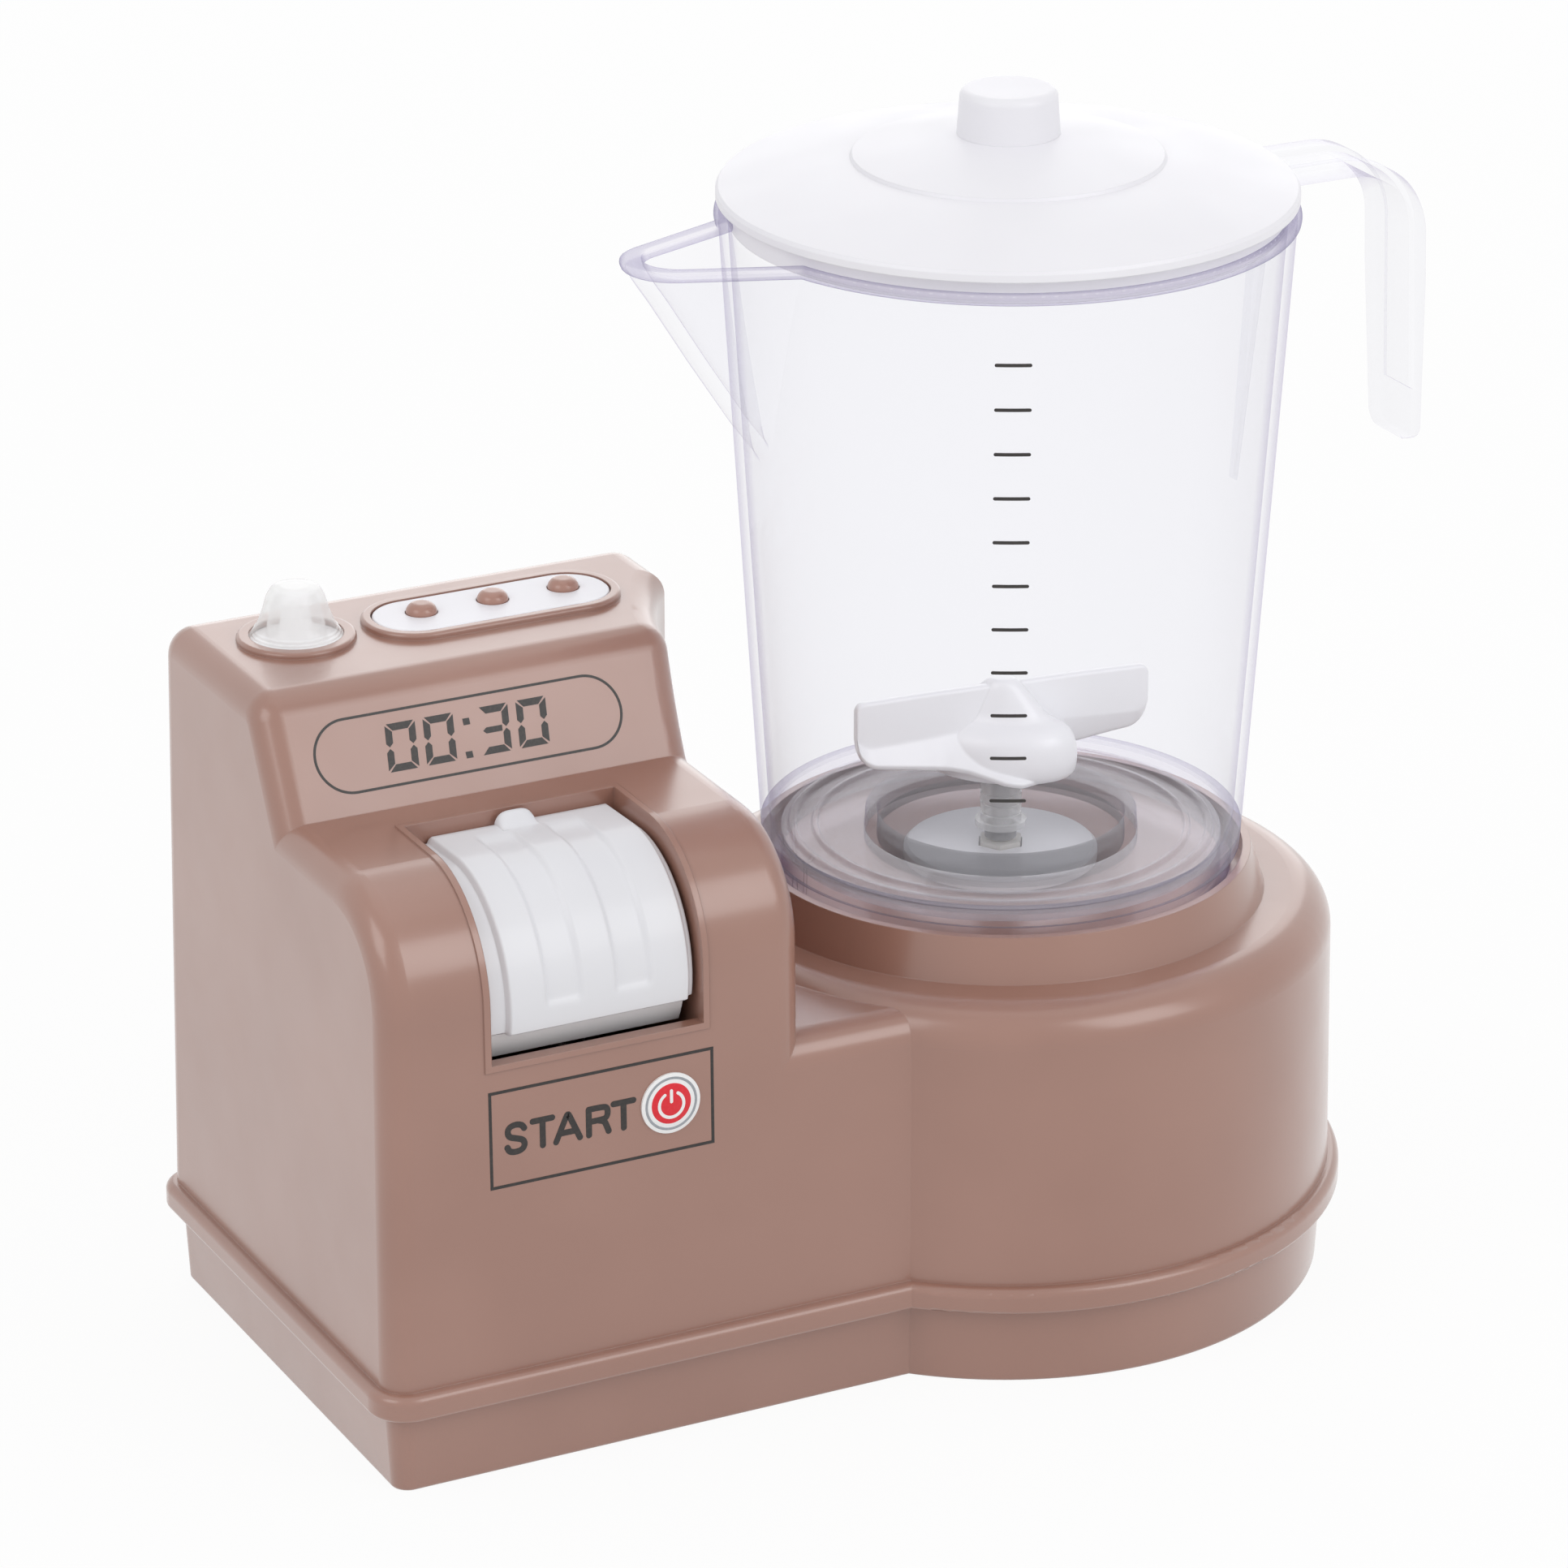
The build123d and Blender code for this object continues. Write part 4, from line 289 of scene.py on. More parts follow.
# %% Skins
def skin(name, grids, body, material, ring=False, sharp=35.0):
    """Makes one closed piece from arrays of rows x columns x (x, y, z) in millimetres.
    Each row closes on itself. With ring the last row joins the first, and otherwise
    both ends close to their middle point. Edges over sharp degrees stay crisp."""
    corners, quads, count = [], [], 0
    for points in grids:
        points = np.asarray(points, float)
        if not ring:
            first = points[:1].mean(axis=1, keepdims=True).repeat(points.shape[1], axis=1)
            last = points[-1:].mean(axis=1, keepdims=True).repeat(points.shape[1], axis=1)
            points = np.concatenate([first, points, last])
        rows, columns = points.shape[:2]
        index = count + np.arange(rows * columns).reshape(rows, columns)
        here = index if ring else index[:-1]
        there = np.roll(index, -1, axis=0) if ring else index[1:]
        quads.append(np.stack([here, np.roll(here, -1, axis=1), np.roll(there, -1, axis=1), there],
                              axis=-1).reshape(-1, 4))
        corners.append(points.reshape(-1, 3) * MM)
        count += rows * columns
    mesh = bpy.data.meshes.new(name)
    mesh.from_pydata(np.concatenate(corners).tolist(), [], np.concatenate(quads).tolist())
    form = bmesh.new()
    form.from_mesh(mesh)
    bmesh.ops.remove_doubles(form, verts=form.verts, dist=1e-6)
    bmesh.ops.dissolve_degenerate(form, edges=form.edges, dist=1e-6)
    bmesh.ops.recalc_face_normals(form, faces=form.faces)
    form.to_mesh(mesh)
    form.free()
    mesh.shade_smooth()
    mesh.set_sharp_from_angle(angle=math.radians(sharp))
    mesh.materials.append(material)
    piece = bpy.data.objects.new(name, mesh)
    piece.visible_shadow = material not in shadowless
    bpy.context.scene.collection.objects.link(piece)
    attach(piece, body)
    print(f"{name}: {len(mesh.polygons)} faces")
    return piece


def xyz(x, y, z):
    """Points from their coordinates, each of them spread over the same rows and columns."""
    return np.stack(np.broadcast_arrays(x, y, z), axis=-1)


def rings(x_radius, y_radius, z, columns, centre=(0.0, 0.0)):
    """Rows of ovals round a centre: one for each x radius, y radius and height."""
    turn = np.linspace(0, 2 * np.pi, columns, endpoint=False)
    return xyz(centre[0] + x_radius[:, None] * np.cos(turn),
               centre[1] + y_radius[:, None] * np.sin(turn), z[:, None])


# %% [markdown]
# Outlines and paths start from a few points, and the functions below refine them. A mould
# leaves no knife edge, so corners are rounded, ends fall away along a circle, and one
# level passes into the next in a soft step.

# %% Outlines and curves
def rounded(corners, radii, steps=6):
    """A closed outline with its corners rounded. Where an outline turns at a corner by
    the angle a, the arc of radius r starts r tan(a / 2) before it and ends as far after,
    and its points lie on a quadratic curve through the corner's handle."""
    corners = np.asarray(corners, float)
    radii = np.broadcast_to(np.asarray(radii, float), len(corners))
    back = np.roll(corners, 1, axis=0) - corners
    ahead = np.roll(corners, -1, axis=0) - corners
    back_length = np.linalg.norm(back, axis=1)
    ahead_length = np.linalg.norm(ahead, axis=1)
    back /= back_length[:, None]
    ahead /= ahead_length[:, None]
    inside = np.arccos(np.clip((back * ahead).sum(axis=1), -1, 1))
    reach = np.minimum(radii / np.tan(inside / 2), 0.49 * np.minimum(back_length, ahead_length))
    t = np.linspace(0, 1, steps)[None, :, None]
    start = (corners + back * reach[:, None])[:, None]
    end = (corners + ahead * reach[:, None])[:, None]
    middle = corners[:, None]
    arcs = (1 - t) ** 2 * start + 2 * t * (1 - t) * middle + t**2 * end
    return arcs.reshape(-1, 2)


def filled(outline, step):
    """Adds points to a closed outline until no side is longer than step."""
    ahead = np.roll(outline, -1, axis=0) - outline
    parts = np.maximum(1, np.ceil(np.linalg.norm(ahead, axis=1) / step)).astype(int)
    first = np.repeat(np.cumsum(parts) - parts, parts)
    share = (np.arange(parts.sum()) - first) / np.repeat(parts, parts)
    return np.repeat(outline, parts, axis=0) + share[:, None] * np.repeat(ahead, parts, axis=0)


def curved(path, times=3):
    """Smooths a path: each pass cuts every corner at a quarter and three quarters of the
    way between neighbours and keeps the two ends."""
    path = np.asarray(path, float)
    for _ in range(times):
        near = 0.75 * path[:-1] + 0.25 * path[1:]
        far = 0.25 * path[:-1] + 0.75 * path[1:]
        cut = np.stack([near, far], axis=1).reshape(-1, path.shape[1])
        path = np.concatenate([path[:1], cut, path[-1:]])
    return path


def distance_along(path):
    """How far each point of a path lies from its first, along the path."""
    return np.concatenate([[0], np.cumsum(np.linalg.norm(np.diff(path, axis=0), axis=1))])


def round_fall(distance, radius, most=0.98):
    """How far a rounded edge falls at a distance from its end: radius (1 - sqrt(1 - s^2)),
    where s = 1 - distance / radius stops at most, just before the circle stands upright."""
    steep = np.clip(1 - distance / radius, 0, most)
    return radius * (1 - np.sqrt(1 - steep**2))


def soft_step(x, edge, width):
    """0 below the edge and 1 above it, along the smooth curve 3 t^2 - 2 t^3."""
    t = np.clip((x - edge) / width + 0.5, 0, 1)
    return t * t * (3 - 2 * t)


# %% [markdown]
# ## The jug
# The jug is one injection-moulded wall, 1.5 mm thick, that widens towards its rim and is
# drawn out into a spout on the left. In section it is a closed outline: round the spigot,
# up the outside, over the rim, down the inside, and across the floor with its rings and
# its ridge. Spun round the axis that gives a plain jug, so each row is also pushed out
# where the spout is. The outline is cut into wall, rim, foot, floor, ridge and the floor's
# middle, because thin and thick plastic each gather their own tint. The solid model joins
# the spout on with a sharp, straight-sided step, and this sheet gives it the curved keel
# and the clean crease that the light shows.

# %% Jug sizes
JUG_LOW, JUG_FLOOR, JUG_RIM = 72.9, 75.0, 180.5
JUG_FOOT_R, JUG_RIM_R, JUG_WALL = 39.1, 45.9, 1.5
SPOUT_Z = np.array([142.5, 143.7, 151.9, 162.6, 173.5, 177.0, 178.9, JUG_RIM])
SPOUT_KEEL = np.array([41.9, 42.7, 48.9, 55.9, 62.7, 65.1, 66.2, 66.7])
SPOUT_TIP_R = np.array([2.2, 2.3, 3.6, 5.3, 6.9, 7.4, 7.7, 7.9])
SPOUT_HALF = np.array([2.2, 2.6, 4.9, 8.4, 11.9, 13.2, 14.0, 14.5])
LIP_OUT, SIDE_INSET, LEAST_HALF, LEAST_LEAN = 0.8, 1.3, 0.4, 0.02


def jug_r(z):
    """Outside radius of the jug: it grows evenly from the foot to the rim."""
    return JUG_FOOT_R + (JUG_RIM_R - JUG_FOOT_R) * (z - JUG_LOW) / (JUG_RIM - JUG_LOW)


print(f"jug: radius {jug_r(JUG_LOW)} to {jug_r(JUG_RIM)} mm")

# %% [markdown]
# The spout's plan is a round tip with a straight side to each of the two places where it
# leaves the round wall, like a drop of water. A side touches the tip's circle, so it
# leaves the circle at an angle that the distance between the two gives.

# %% Jug surface
def jug_rows(profile, tip_steps=13, side_steps=12, wall_steps=160):
    """Spins the profile (radius, height) into rows. At each height the tip is a circle of
    radius p round (c, 0), and the side's root is P = (sqrt(R^2 - h^2), h) on the wall of
    radius R. The side touches the tip where its normal leans b from the spout's axis: b
    is the angle from (c, 0) to P, less arccos(p / distance to P). Nothing lies inside R."""
    radius, z = profile[:, :1], profile[:, 1:]
    inset = np.clip(jug_r(z) - radius, -LIP_OUT, JUG_WALL)
    tip_r = np.interp(z, SPOUT_Z, SPOUT_TIP_R)
    tip = tip_r - inset
    half = np.maximum(np.interp(z, SPOUT_Z, SPOUT_HALF) - SIDE_INSET * inset, LEAST_HALF)
    centre = np.interp(z, SPOUT_Z, SPOUT_KEEL) - tip_r - np.clip(inset, 0, None)
    root = np.sqrt(np.maximum(radius**2 - half**2, 0.01))
    reach = np.hypot(root - centre, half)
    lean = np.arctan2(half, root - centre) - np.arccos(np.clip(tip / reach, -1, 1))
    turn = np.linspace(-1, 1, tip_steps)[None] * np.clip(lean, LEAST_LEAN, None)
    tip_points = np.stack([centre + tip * np.cos(turn), tip * np.sin(turn)], axis=-1)
    share = np.linspace(0, 1, side_steps)[None, 1:-1, None]
    foot = np.concatenate([root, half], axis=1)[:, None]
    side = tip_points[:, -1:] * (1 - share) + foot * share
    start = np.arctan2(half, root)
    spin = start + np.linspace(0, 1, wall_steps)[None] * (2 * np.pi - 2 * start)
    wall = np.stack([radius * np.cos(spin), radius * np.sin(spin)], axis=-1)
    plan = np.concatenate([tip_points, side, wall, side[:, ::-1] * (1, -1)], axis=1)
    angle = np.arctan2(plan[..., 1], plan[..., 0])
    out = np.maximum(np.hypot(plan[..., 0], plan[..., 1]), radius)
    out = np.where(z >= SPOUT_Z[0], out, radius)
    return xyz(-out * np.cos(angle), -out * np.sin(angle), z)


def jug_part(name, corners, radii, material):
    """Rounds a closed outline of (radius, height), fills it, spins it and makes a piece."""
    profile = filled(rounded(corners, radii, 5), 1.6)
    apart = np.linalg.norm(profile - np.roll(profile, 1, axis=0), axis=1) > 1e-4
    piece = skin(name, [jug_rows(profile[apart])], "jug", material, ring=True, sharp=32)
    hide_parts("jug")


wall_z = np.array([75.5, SPOUT_Z[0], 179.2])
outside = np.stack([jug_r(wall_z), wall_z], axis=1)
jug_part("jug_wall", np.concatenate([outside, outside[::-1] - (JUG_WALL, 0)]),
         [0.1, 0, 0.1, 0.1, 0, 0.1], clear_styrene)
jug_part("jug_rim", [(46.5, 178.8), (46.5, JUG_RIM), (44.1, JUG_RIM), (44.1, 178.8)],
         0.75, edge_styrene)
jug_part("jug_foot", [
    (35.9, JUG_LOW), (36.0, 69.25), (37.8, 69.25), (37.8, JUG_LOW), (JUG_FOOT_R, JUG_LOW),
    (jug_r(76.4), 76.4), (jug_r(76.4) - 1.7, 76.4), (36.6, JUG_FLOOR), (35.9, JUG_FLOOR)],
    [0.3, 0.3, 0.3, 0.3, 1.6, 0.2, 0.2, 1.0, 0.2], edge_styrene)
jug_part("jug_floor", [
    (22.3, JUG_LOW), (36.0, JUG_LOW), (36.0, JUG_FLOOR), (34.9, JUG_FLOOR), (34.6, 75.8),
    (33.6, 75.8), (33.3, JUG_FLOOR), (31.1, JUG_FLOOR), (30.8, 75.7), (30.1, 75.7),
    (29.8, JUG_FLOOR), (22.3, JUG_FLOOR)],
    [0.2, 0.2, 0.2, 0.3, 0.3, 0.3, 0.3, 0.3, 0.2, 0.2, 0.3, 0.2], floor_styrene)
jug_part("jug_floor_ridge", [
    (20.2, JUG_LOW), (22.4, JUG_LOW), (22.4, JUG_FLOOR), (22.2, 76.3), (22.2, 78.2), (20.2, 78.2)],
    [0.2, 0.2, 0.3, 0.6, 0.6, 0.6], clear_styrene)
jug_part("jug_floor_middle", [
    (2.61, JUG_LOW), (20.3, JUG_LOW), (20.3, JUG_FLOOR), (2.61, JUG_FLOOR)], 0.2, clear_styrene)

# %% [markdown]
# ## The handle
# The handle is a strap that leaves the rim level, bends down and ends free. Its edges are
# rounded, and a shallow channel runs along its outer face, which stiffens it without
# making it thick. That is a section carried along a path, and the section changes on the
# way: it narrows towards the foot, its channel starts and stops squarely, and its last
# corners are rounded off. A bevelled curve can't change its section like that, but rows
# of points can.

# %% Handle
HANDLE_TOP, BAR_START, BEND_X, BEND_R = 181.2, 45.7, 59.3, 14.0
GRIP_LENGTH, GRIP_OUT, GRIP_SLOPE = 35.7, 1.14, 0.032
HANDLE_T, CHANNEL_DEEP, END_R, EDGE_R = 2.25, 0.8, 2.5, 0.45


def strap_path(level_count, bend_count, grip_count):
    """The strap's outer edge in side view as (x, z) and its outward normals: level at
    HANDLE_TOP, a quarter circle of radius BEND_R, then down at a slight lean."""
    turn = np.linspace(0, np.pi / 2, bend_count)[1:-1]
    bend_out = np.stack([np.sin(turn), np.cos(turn)], axis=1)
    start = np.array([BEND_X + BEND_R, HANDLE_TOP - BEND_R])
    points = np.concatenate([
        np.linspace((BAR_START, HANDLE_TOP), (BEND_X, HANDLE_TOP), level_count),
        start - (BEND_R, 0) + BEND_R * bend_out,
        np.linspace(start, start + (GRIP_OUT, -GRIP_LENGTH), grip_count)])
    normals = np.concatenate([np.tile([0.0, 1.0], (level_count, 1)), bend_out,
                              np.tile([1.0, GRIP_SLOPE], (grip_count, 1))])
    return points, normals / np.linalg.norm(normals, axis=1, keepdims=True)


path_xz, path_out = strap_path(40, 26, 110)
along = distance_along(path_xz)
to_end = along[-1] - along
half_width = np.interp(to_end, [0, 28, 60], [6.5, 8.0, 8.0]) - round_fall(to_end, END_R, 0.995992)
channel_half = np.interp(along, [0, 14, 26, 75], [3.3, 3.3, 3.9, 4.2])
channel_half = np.minimum(channel_half, half_width - 0.9)
deep = CHANNEL_DEEP * np.clip((along - 2.2) / 0.25, 0, 1) * np.clip((to_end - 8.3) / 0.25, 0, 1)
face = np.zeros_like(along)
back = face + HANDLE_T
nick = 0.3 * EDGE_R
half_section = [
    (face, deep), (channel_half - 0.25, deep), (channel_half, deep * 0.75),
    (channel_half, deep * 0.25), (channel_half + 0.2, face), (half_width - EDGE_R, face),
    (half_width - nick, face + nick), (half_width, face + EDGE_R), (half_width, back - EDGE_R),
    (half_width - nick, back - nick), (half_width - EDGE_R, back), (face, back)]
across = np.stack([y for y, _ in half_section] + [-y for y, _ in half_section[-2:0:-1]], axis=1)
depth = np.stack([d for _, d in half_section] + [d for _, d in half_section[-2:0:-1]], axis=1)
handle_points = xyz(path_xz[:, :1] - depth * path_out[:, :1], across,
                    path_xz[:, 1:] - depth * path_out[:, 1:])
handle = skin("handle", [handle_points], "jug", clear_styrene)
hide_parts("jug")

# %% [markdown]
# A tapered rib stiffens the wall below the strap. Its section is a bar with two small
# bevels, which stands out further and further towards the rim.

# %% Rib below the handle
RIB_TOP, RIB_FOOT, RIB_HALF, RIB_BEVEL = 178.6, 128.0, 1.15, 0.4
rib_z = np.linspace(RIB_TOP, RIB_FOOT, 40)[:, None]
rib_out = np.interp(rib_z, [RIB_FOOT, 174.0, RIB_TOP], [0.4, 2.9, 4.4])
rib_root = jug_r(rib_z) - 0.05
rib_face = jug_r(rib_z) + rib_out
rib_shoulder = np.maximum(rib_face - RIB_BEVEL, rib_root)
rib_x = np.concatenate([rib_root, rib_shoulder, rib_face, rib_face, rib_shoulder, rib_root], axis=1)
rib_y = np.array([-RIB_HALF, -RIB_HALF, -RIB_HALF + RIB_BEVEL, RIB_HALF - RIB_BEVEL,
                  RIB_HALF, RIB_HALF])
wall_rib = skin("wall_rib", [xyz(rib_x, rib_y, rib_z)], "jug", clear_styrene)
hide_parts("jug")

# %% [markdown]
# ## The impeller
# The impeller is a white hub with two upright blades. Each blade bends forward at its
# foot into a scoop, which throws the food up. Towards the hub the scoop grows and sinks,
# and it sweeps on below the hub to its far side. So a blade is a section that changes
# along its length: its reach and its heights are known at twelve stations, numpy reads
# the rows in between, and every corner is rounded, because in a mould nothing is sharp.
# The hub is a stack of ovals that shrink to its top.

# %% Impeller
BLADE_T, BLADE_END, BLADE_LEAN, HUB_LEAN = 1.8, 25.6, -6.0, -40.0
STATION = np.array([-10.0, -8.0, -4.0, 0.0, 1.5, 3.0, 5.5, 8.0, 11.0, 14.0, 20.0, BLADE_END])
FOOT_REACH = np.array([3.5, 5.2, 8.4, 9.6, 9.3, 8.6, 6.8, 5.2, 3.9, 3.4, 3.0, 2.2])
FOOT_LOW = np.array([85.6, 84.9, 84.5, 84.5, 84.7, 85.0, 85.8, 86.6, 87.1, 87.4, 88.2, 88.8])
CREASE = np.array([87.0, 87.4, 88.8, 90.6, 91.4, 91.8, 92.1, 92.3, 92.3, 92.1, 91.8, 91.6])
UPPER = np.array([88.6, 89.0, 90.5, 95.0, 99.8, 99.8, 99.8, 99.8, 99.8, 99.8, 99.7, 99.6])


def turned(points, degrees):
    """Turns points (x, y, z) round the axis by an angle in degrees."""
    c, s = math.cos(math.radians(degrees)), math.sin(math.radians(degrees))
    x, y, z = np.moveaxis(points, -1, 0)
    return xyz(x * c - y * s, x * s + y * c, z)


def blade_rows(count=72):
    """Rows along one blade. At each distance r from the axis the section is an upright
    plate, from CREASE up to UPPER, whose lower part bends forward into a scoop that ends
    FOOT_REACH in front of it, at the height FOOT_LOW. At the blade's end its corners are
    rounded: 3.2 mm below and 1.3 mm above, and the section thins by a fifth."""
    r = BLADE_END - (BLADE_END - STATION[0]) * np.linspace(0, 1, count)[::-1] ** 1.3
    reach, low, crease, top = (np.interp(r, STATION, row)
                               for row in (FOOT_REACH, FOOT_LOW, CREASE, UPPER))
    t = BLADE_T / 2
    rows = np.stack([
        rounded([(t, z1), (t, zc), (-0.1, z0), (0.3 - f, z0), (-f, z0 + 0.9), (-t, zc), (-t, z1)],
                [0.7, 3.0, 1.2, 0.5, 0.5, 1.6, 0.7], 5)
        for f, z0, zc, z1 in zip(reach, low, crease, top)])
    low, top, to_tip = low[:, None], top[:, None], (BLADE_END - r)[:, None]
    down, up = low + round_fall(to_tip, 3.2, 0.985), top - round_fall(to_tip, 1.3, 0.985)
    z = down + (rows[..., 1] - low) * (up - down) / (top - low)
    y = rows[..., 0] * (1 - 0.12 * round_fall(to_tip, 2.0, 0.985))
    return xyz(-r[:, None], y, z)


hub_levels = curved([(9.5, 5.2, 84.4), (12.0, 7.4, 84.6), (12.6, 7.9, 87.4), (12.2, 7.3, 91.2),
                     (10.4, 5.6, 93.2), (7.8, 4.0, 94.2), (5.4, 3.1, 97.2), (2.4, 2.0, 100.6),
                     (0.6, 0.6, 100.7)], 3)
blade, hub = blade_rows(), rings(*hub_levels.T, 96)
impeller_piece = skin("impeller_blades",
                      [turned(blade, BLADE_LEAN), turned(blade, BLADE_LEAN + 180),
                       turned(hub, HUB_LEAN)], "impeller", shade_lightened_white_abs, sharp=60)
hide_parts("impeller")

# %% [markdown]
# ## The lever's cover
# The white cover is a quarter drum that rocks in the hood. Its skin runs from a low front
# edge up over the top and back to the slot's rear wall. Two thumb tracks are sunk into
# it, and its side strips lie lower than its face. All of that is one surface: how deep
# it lies depends only on the place across, with soft steps between the levels, so the
# depth is a function of x, and the path round the drum carries it.

# %% Lever cover
LEVER_X, LEVER_Y, LEVER_Z, LEVER_R = -91.8, -19.4, 77.3, 19.1
COVER_HALF, COVER_FACE_HALF, COVER_SHIFT, COVER_STEP, COVER_T = 17.4, 15.3, 1.0, 1.0, 2.2
COVER_REAR_Y, COVER_REAR_Z, REAR_SLOPE, REAR_ROWS = -8.55, 96.0, 0.036, 13
TRACK_SHIFT, TRACK_X, TRACK_HALF, TRACK_DEEP = 0.85, 5.9, 2.9, 0.6
TRACK_START, TRACK_STOP = 4.7, 5.5

arc_turn = np.radians(np.linspace(-12, 90, 64))
arc_up = np.stack([-np.cos(arc_turn), np.sin(arc_turn)], axis=1)
rear_path = np.linspace((LEVER_Y, LEVER_Z + LEVER_R), (COVER_REAR_Y, COVER_REAR_Z), REAR_ROWS + 1)
path_yz = np.concatenate([(LEVER_Y, LEVER_Z) + LEVER_R * arc_up, rear_path[1:]])
path_up = np.concatenate([arc_up, np.tile([REAR_SLOPE, 0.9993], (REAR_ROWS, 1))])
along = distance_along(path_yz)
to_end = along[-1] - along
edge_fall = round_fall(np.minimum(along, to_end), 0.7)[:, None]
x_top = np.concatenate([np.linspace(-COVER_HALF, -13.4, 24), np.linspace(-13.2, 15.0, 110),
                        np.linspace(15.15, COVER_HALF, 20)])
side_drop = COVER_STEP * soft_step(np.abs(x_top - COVER_SHIFT), COVER_FACE_HALF, 0.8)
rim_fall = round_fall(COVER_HALF - np.abs(x_top), 0.5)
in_track = 1 - soft_step(np.abs(np.abs(x_top - TRACK_SHIFT) - TRACK_X), TRACK_HALF, 0.9)
track_on = (soft_step(along, TRACK_START, 1.2) * soft_step(to_end, TRACK_STOP, 5.0))[:, None]
drop = side_drop + rim_fall + TRACK_DEEP * in_track * track_on + edge_fall
x_under = x_top[::-4]
under = np.broadcast_to(COVER_T - 0.25 * edge_fall, (len(along), len(x_under)))
cover_x = LEVER_X + np.concatenate([x_top, x_under])
cover_depth = np.concatenate([drop, under], axis=1)
cover_points = xyz(cover_x, path_yz[:, :1] - cover_depth * path_up[:, :1],
                   path_yz[:, 1:] - cover_depth * path_up[:, 1:])

# the finger tab: the middle strip's rear end curls up into a half round
tab_outline = rounded([(-3.2, -3.0), (3.2, -3.0), (3.2, 2.0), (-3.2, 2.0)], [0.3, 0.3, 3.1, 3.1], 9)
tab_y = np.array([-3.9, -3.3, -2.7, -2.1, -1.5, -1.0, -0.65, -0.5])[:, None]
tab_rise = np.array([0.0, 0.1, 0.34, 0.68, 0.92, 1.0, 0.97, 0.8])[:, None]
tab_x, tab_z = tab_outline.T
tab_points = xyz(LEVER_X + 0.1 + tab_x, COVER_REAR_Y + tab_y,
                 COVER_REAR_Z + np.where(tab_z > 0, tab_z * tab_rise, tab_z) - REAR_SLOPE * tab_y)
start_cover = skin("start_cover", [cover_points, tab_points], "lever", lever_abs, sharp=40)
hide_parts("start_lever")

# %% [markdown]
# ## The signal lamp
# The lamp's lens is a small frosted bell with a stepped foot, and a white column stands
# inside it, which carries the light up. Both are turned shapes, so a profile is spun. The
# foot's fine rings hide the joint to the tower.

# %% Signal lamp
LAMP_AT, TOWER_TOP = (-110.2, 32.1), 115.6


def lamp_part(name, corners, radii, columns, material):
    """Rounds a profile of (radius, height over the tower) and spins it round the lamp."""
    r, height = rounded(corners, radii, 6).T
    rows = rings(r, r, TOWER_TOP + height, columns, LAMP_AT)
    return skin(name, [rows], "base", material, ring=True)


lens_bell = lamp_part("lens_bell", [
    (7.7, 0.0), (7.7, 0.75), (7.15, 0.95), (7.15, 1.35), (6.85, 1.5), (6.85, 1.9), (6.5, 2.1),
    (5.95, 3.4), (5.3, 5.2), (4.75, 7.2), (3.9, 8.75), (2.3, 9.15), (0.02, 9.2),
    (0.02, 8.0), (2.2, 7.9), (3.3, 7.2), (4.0, 5.2), (4.6, 2.6), (5.0, 0.0)],
    [0.1, 0.2, 0.12, 0.2, 0.12, 0.2, 0.3, 1.5, 2.0, 2.0, 1.3, 2.0, 0, 0, 1.5, 1.5, 2.0, 2.0, 0],
    72, frosted_styrene)
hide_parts("lamp_lens")
lamp_part("light_guide", [
    (7.45, -0.5), (7.45, 0.03), (4.7, 0.06), (3.1, 0.5), (2.5, 3.0), (2.2, 7.5), (0.02, 7.7),
    (0.02, -0.5)], [0.1, 0.2, 0.3, 1.2, 2.0, 0.8, 0, 0], 64, shade_lightened_white_abs)

# %% [markdown]
# ## Prints
# The dashes on the jug, the display, the START frame and its letters are all pen strokes:
# a centre line, a width, and ends that are round or square. So one function turns a
# centre line into its two edges, and a second makes them a thin raised plate on a face.
# The faces aren't upright: the display panel leans back by 30 degrees, the front face by
# 0.85 degrees to let the mould open, and the jug is a cone. Text objects could give the
# letters, but a font's outline has thousands of points, and strokes of one width are what
# a print block with rounded letters has.

# %% Pen strokes
INK_HIGH, INK_SUNK, DISC_EDGE = 0.04, 0.08, 0.12


def straight(x0, z0, x1, z1, count=3):
    """A straight pen path of evenly spaced points."""
    return np.linspace((x0, z0), (x1, z1), count)


def stroke(path, width, round_ends=True, closed=False):
    """Rows across a pen stroke: at each point the left and right edge, half the width to
    each side of the path. Round ends add rows whose width shrinks with the sine of an
    angle while they reach out with its cosine."""
    path = np.asarray(path, float)
    if closed:
        along = np.roll(path, -1, axis=0) - np.roll(path, 1, axis=0)
    else:
        along = np.gradient(path, axis=0)
    along /= np.linalg.norm(along, axis=1, keepdims=True)
    half = np.full(len(path), width / 2)
    if round_ends and not closed:
        turn = np.linspace(0.12, np.pi / 2, 7)[:-1, None]
        first = path[:1] - along[:1] * np.cos(turn) * width / 2
        last = path[-1:] + along[-1:] * np.cos(turn[::-1]) * width / 2
        cap = np.sin(turn[:, 0]) * width / 2
        half = np.concatenate([cap, half, cap[::-1]])
        along = np.concatenate([along[:1].repeat(6, axis=0), along, along[-1:].repeat(6, axis=0)])
        path = np.concatenate([first, path, last])
    side = np.stack([-along[:, 1], along[:, 0]], axis=1) * half[:, None]
    return np.stack([path + side, path - side], axis=1)


def plate(edges, place, high=INK_HIGH):
    """A thin solid from rows of edges: each row goes down one side and up the other."""
    flat = edges[:, [0, 0, -1, -1]]
    return place(flat[..., 0], flat[..., 1], np.array([-INK_SUNK, high, high, -INK_SUNK]))


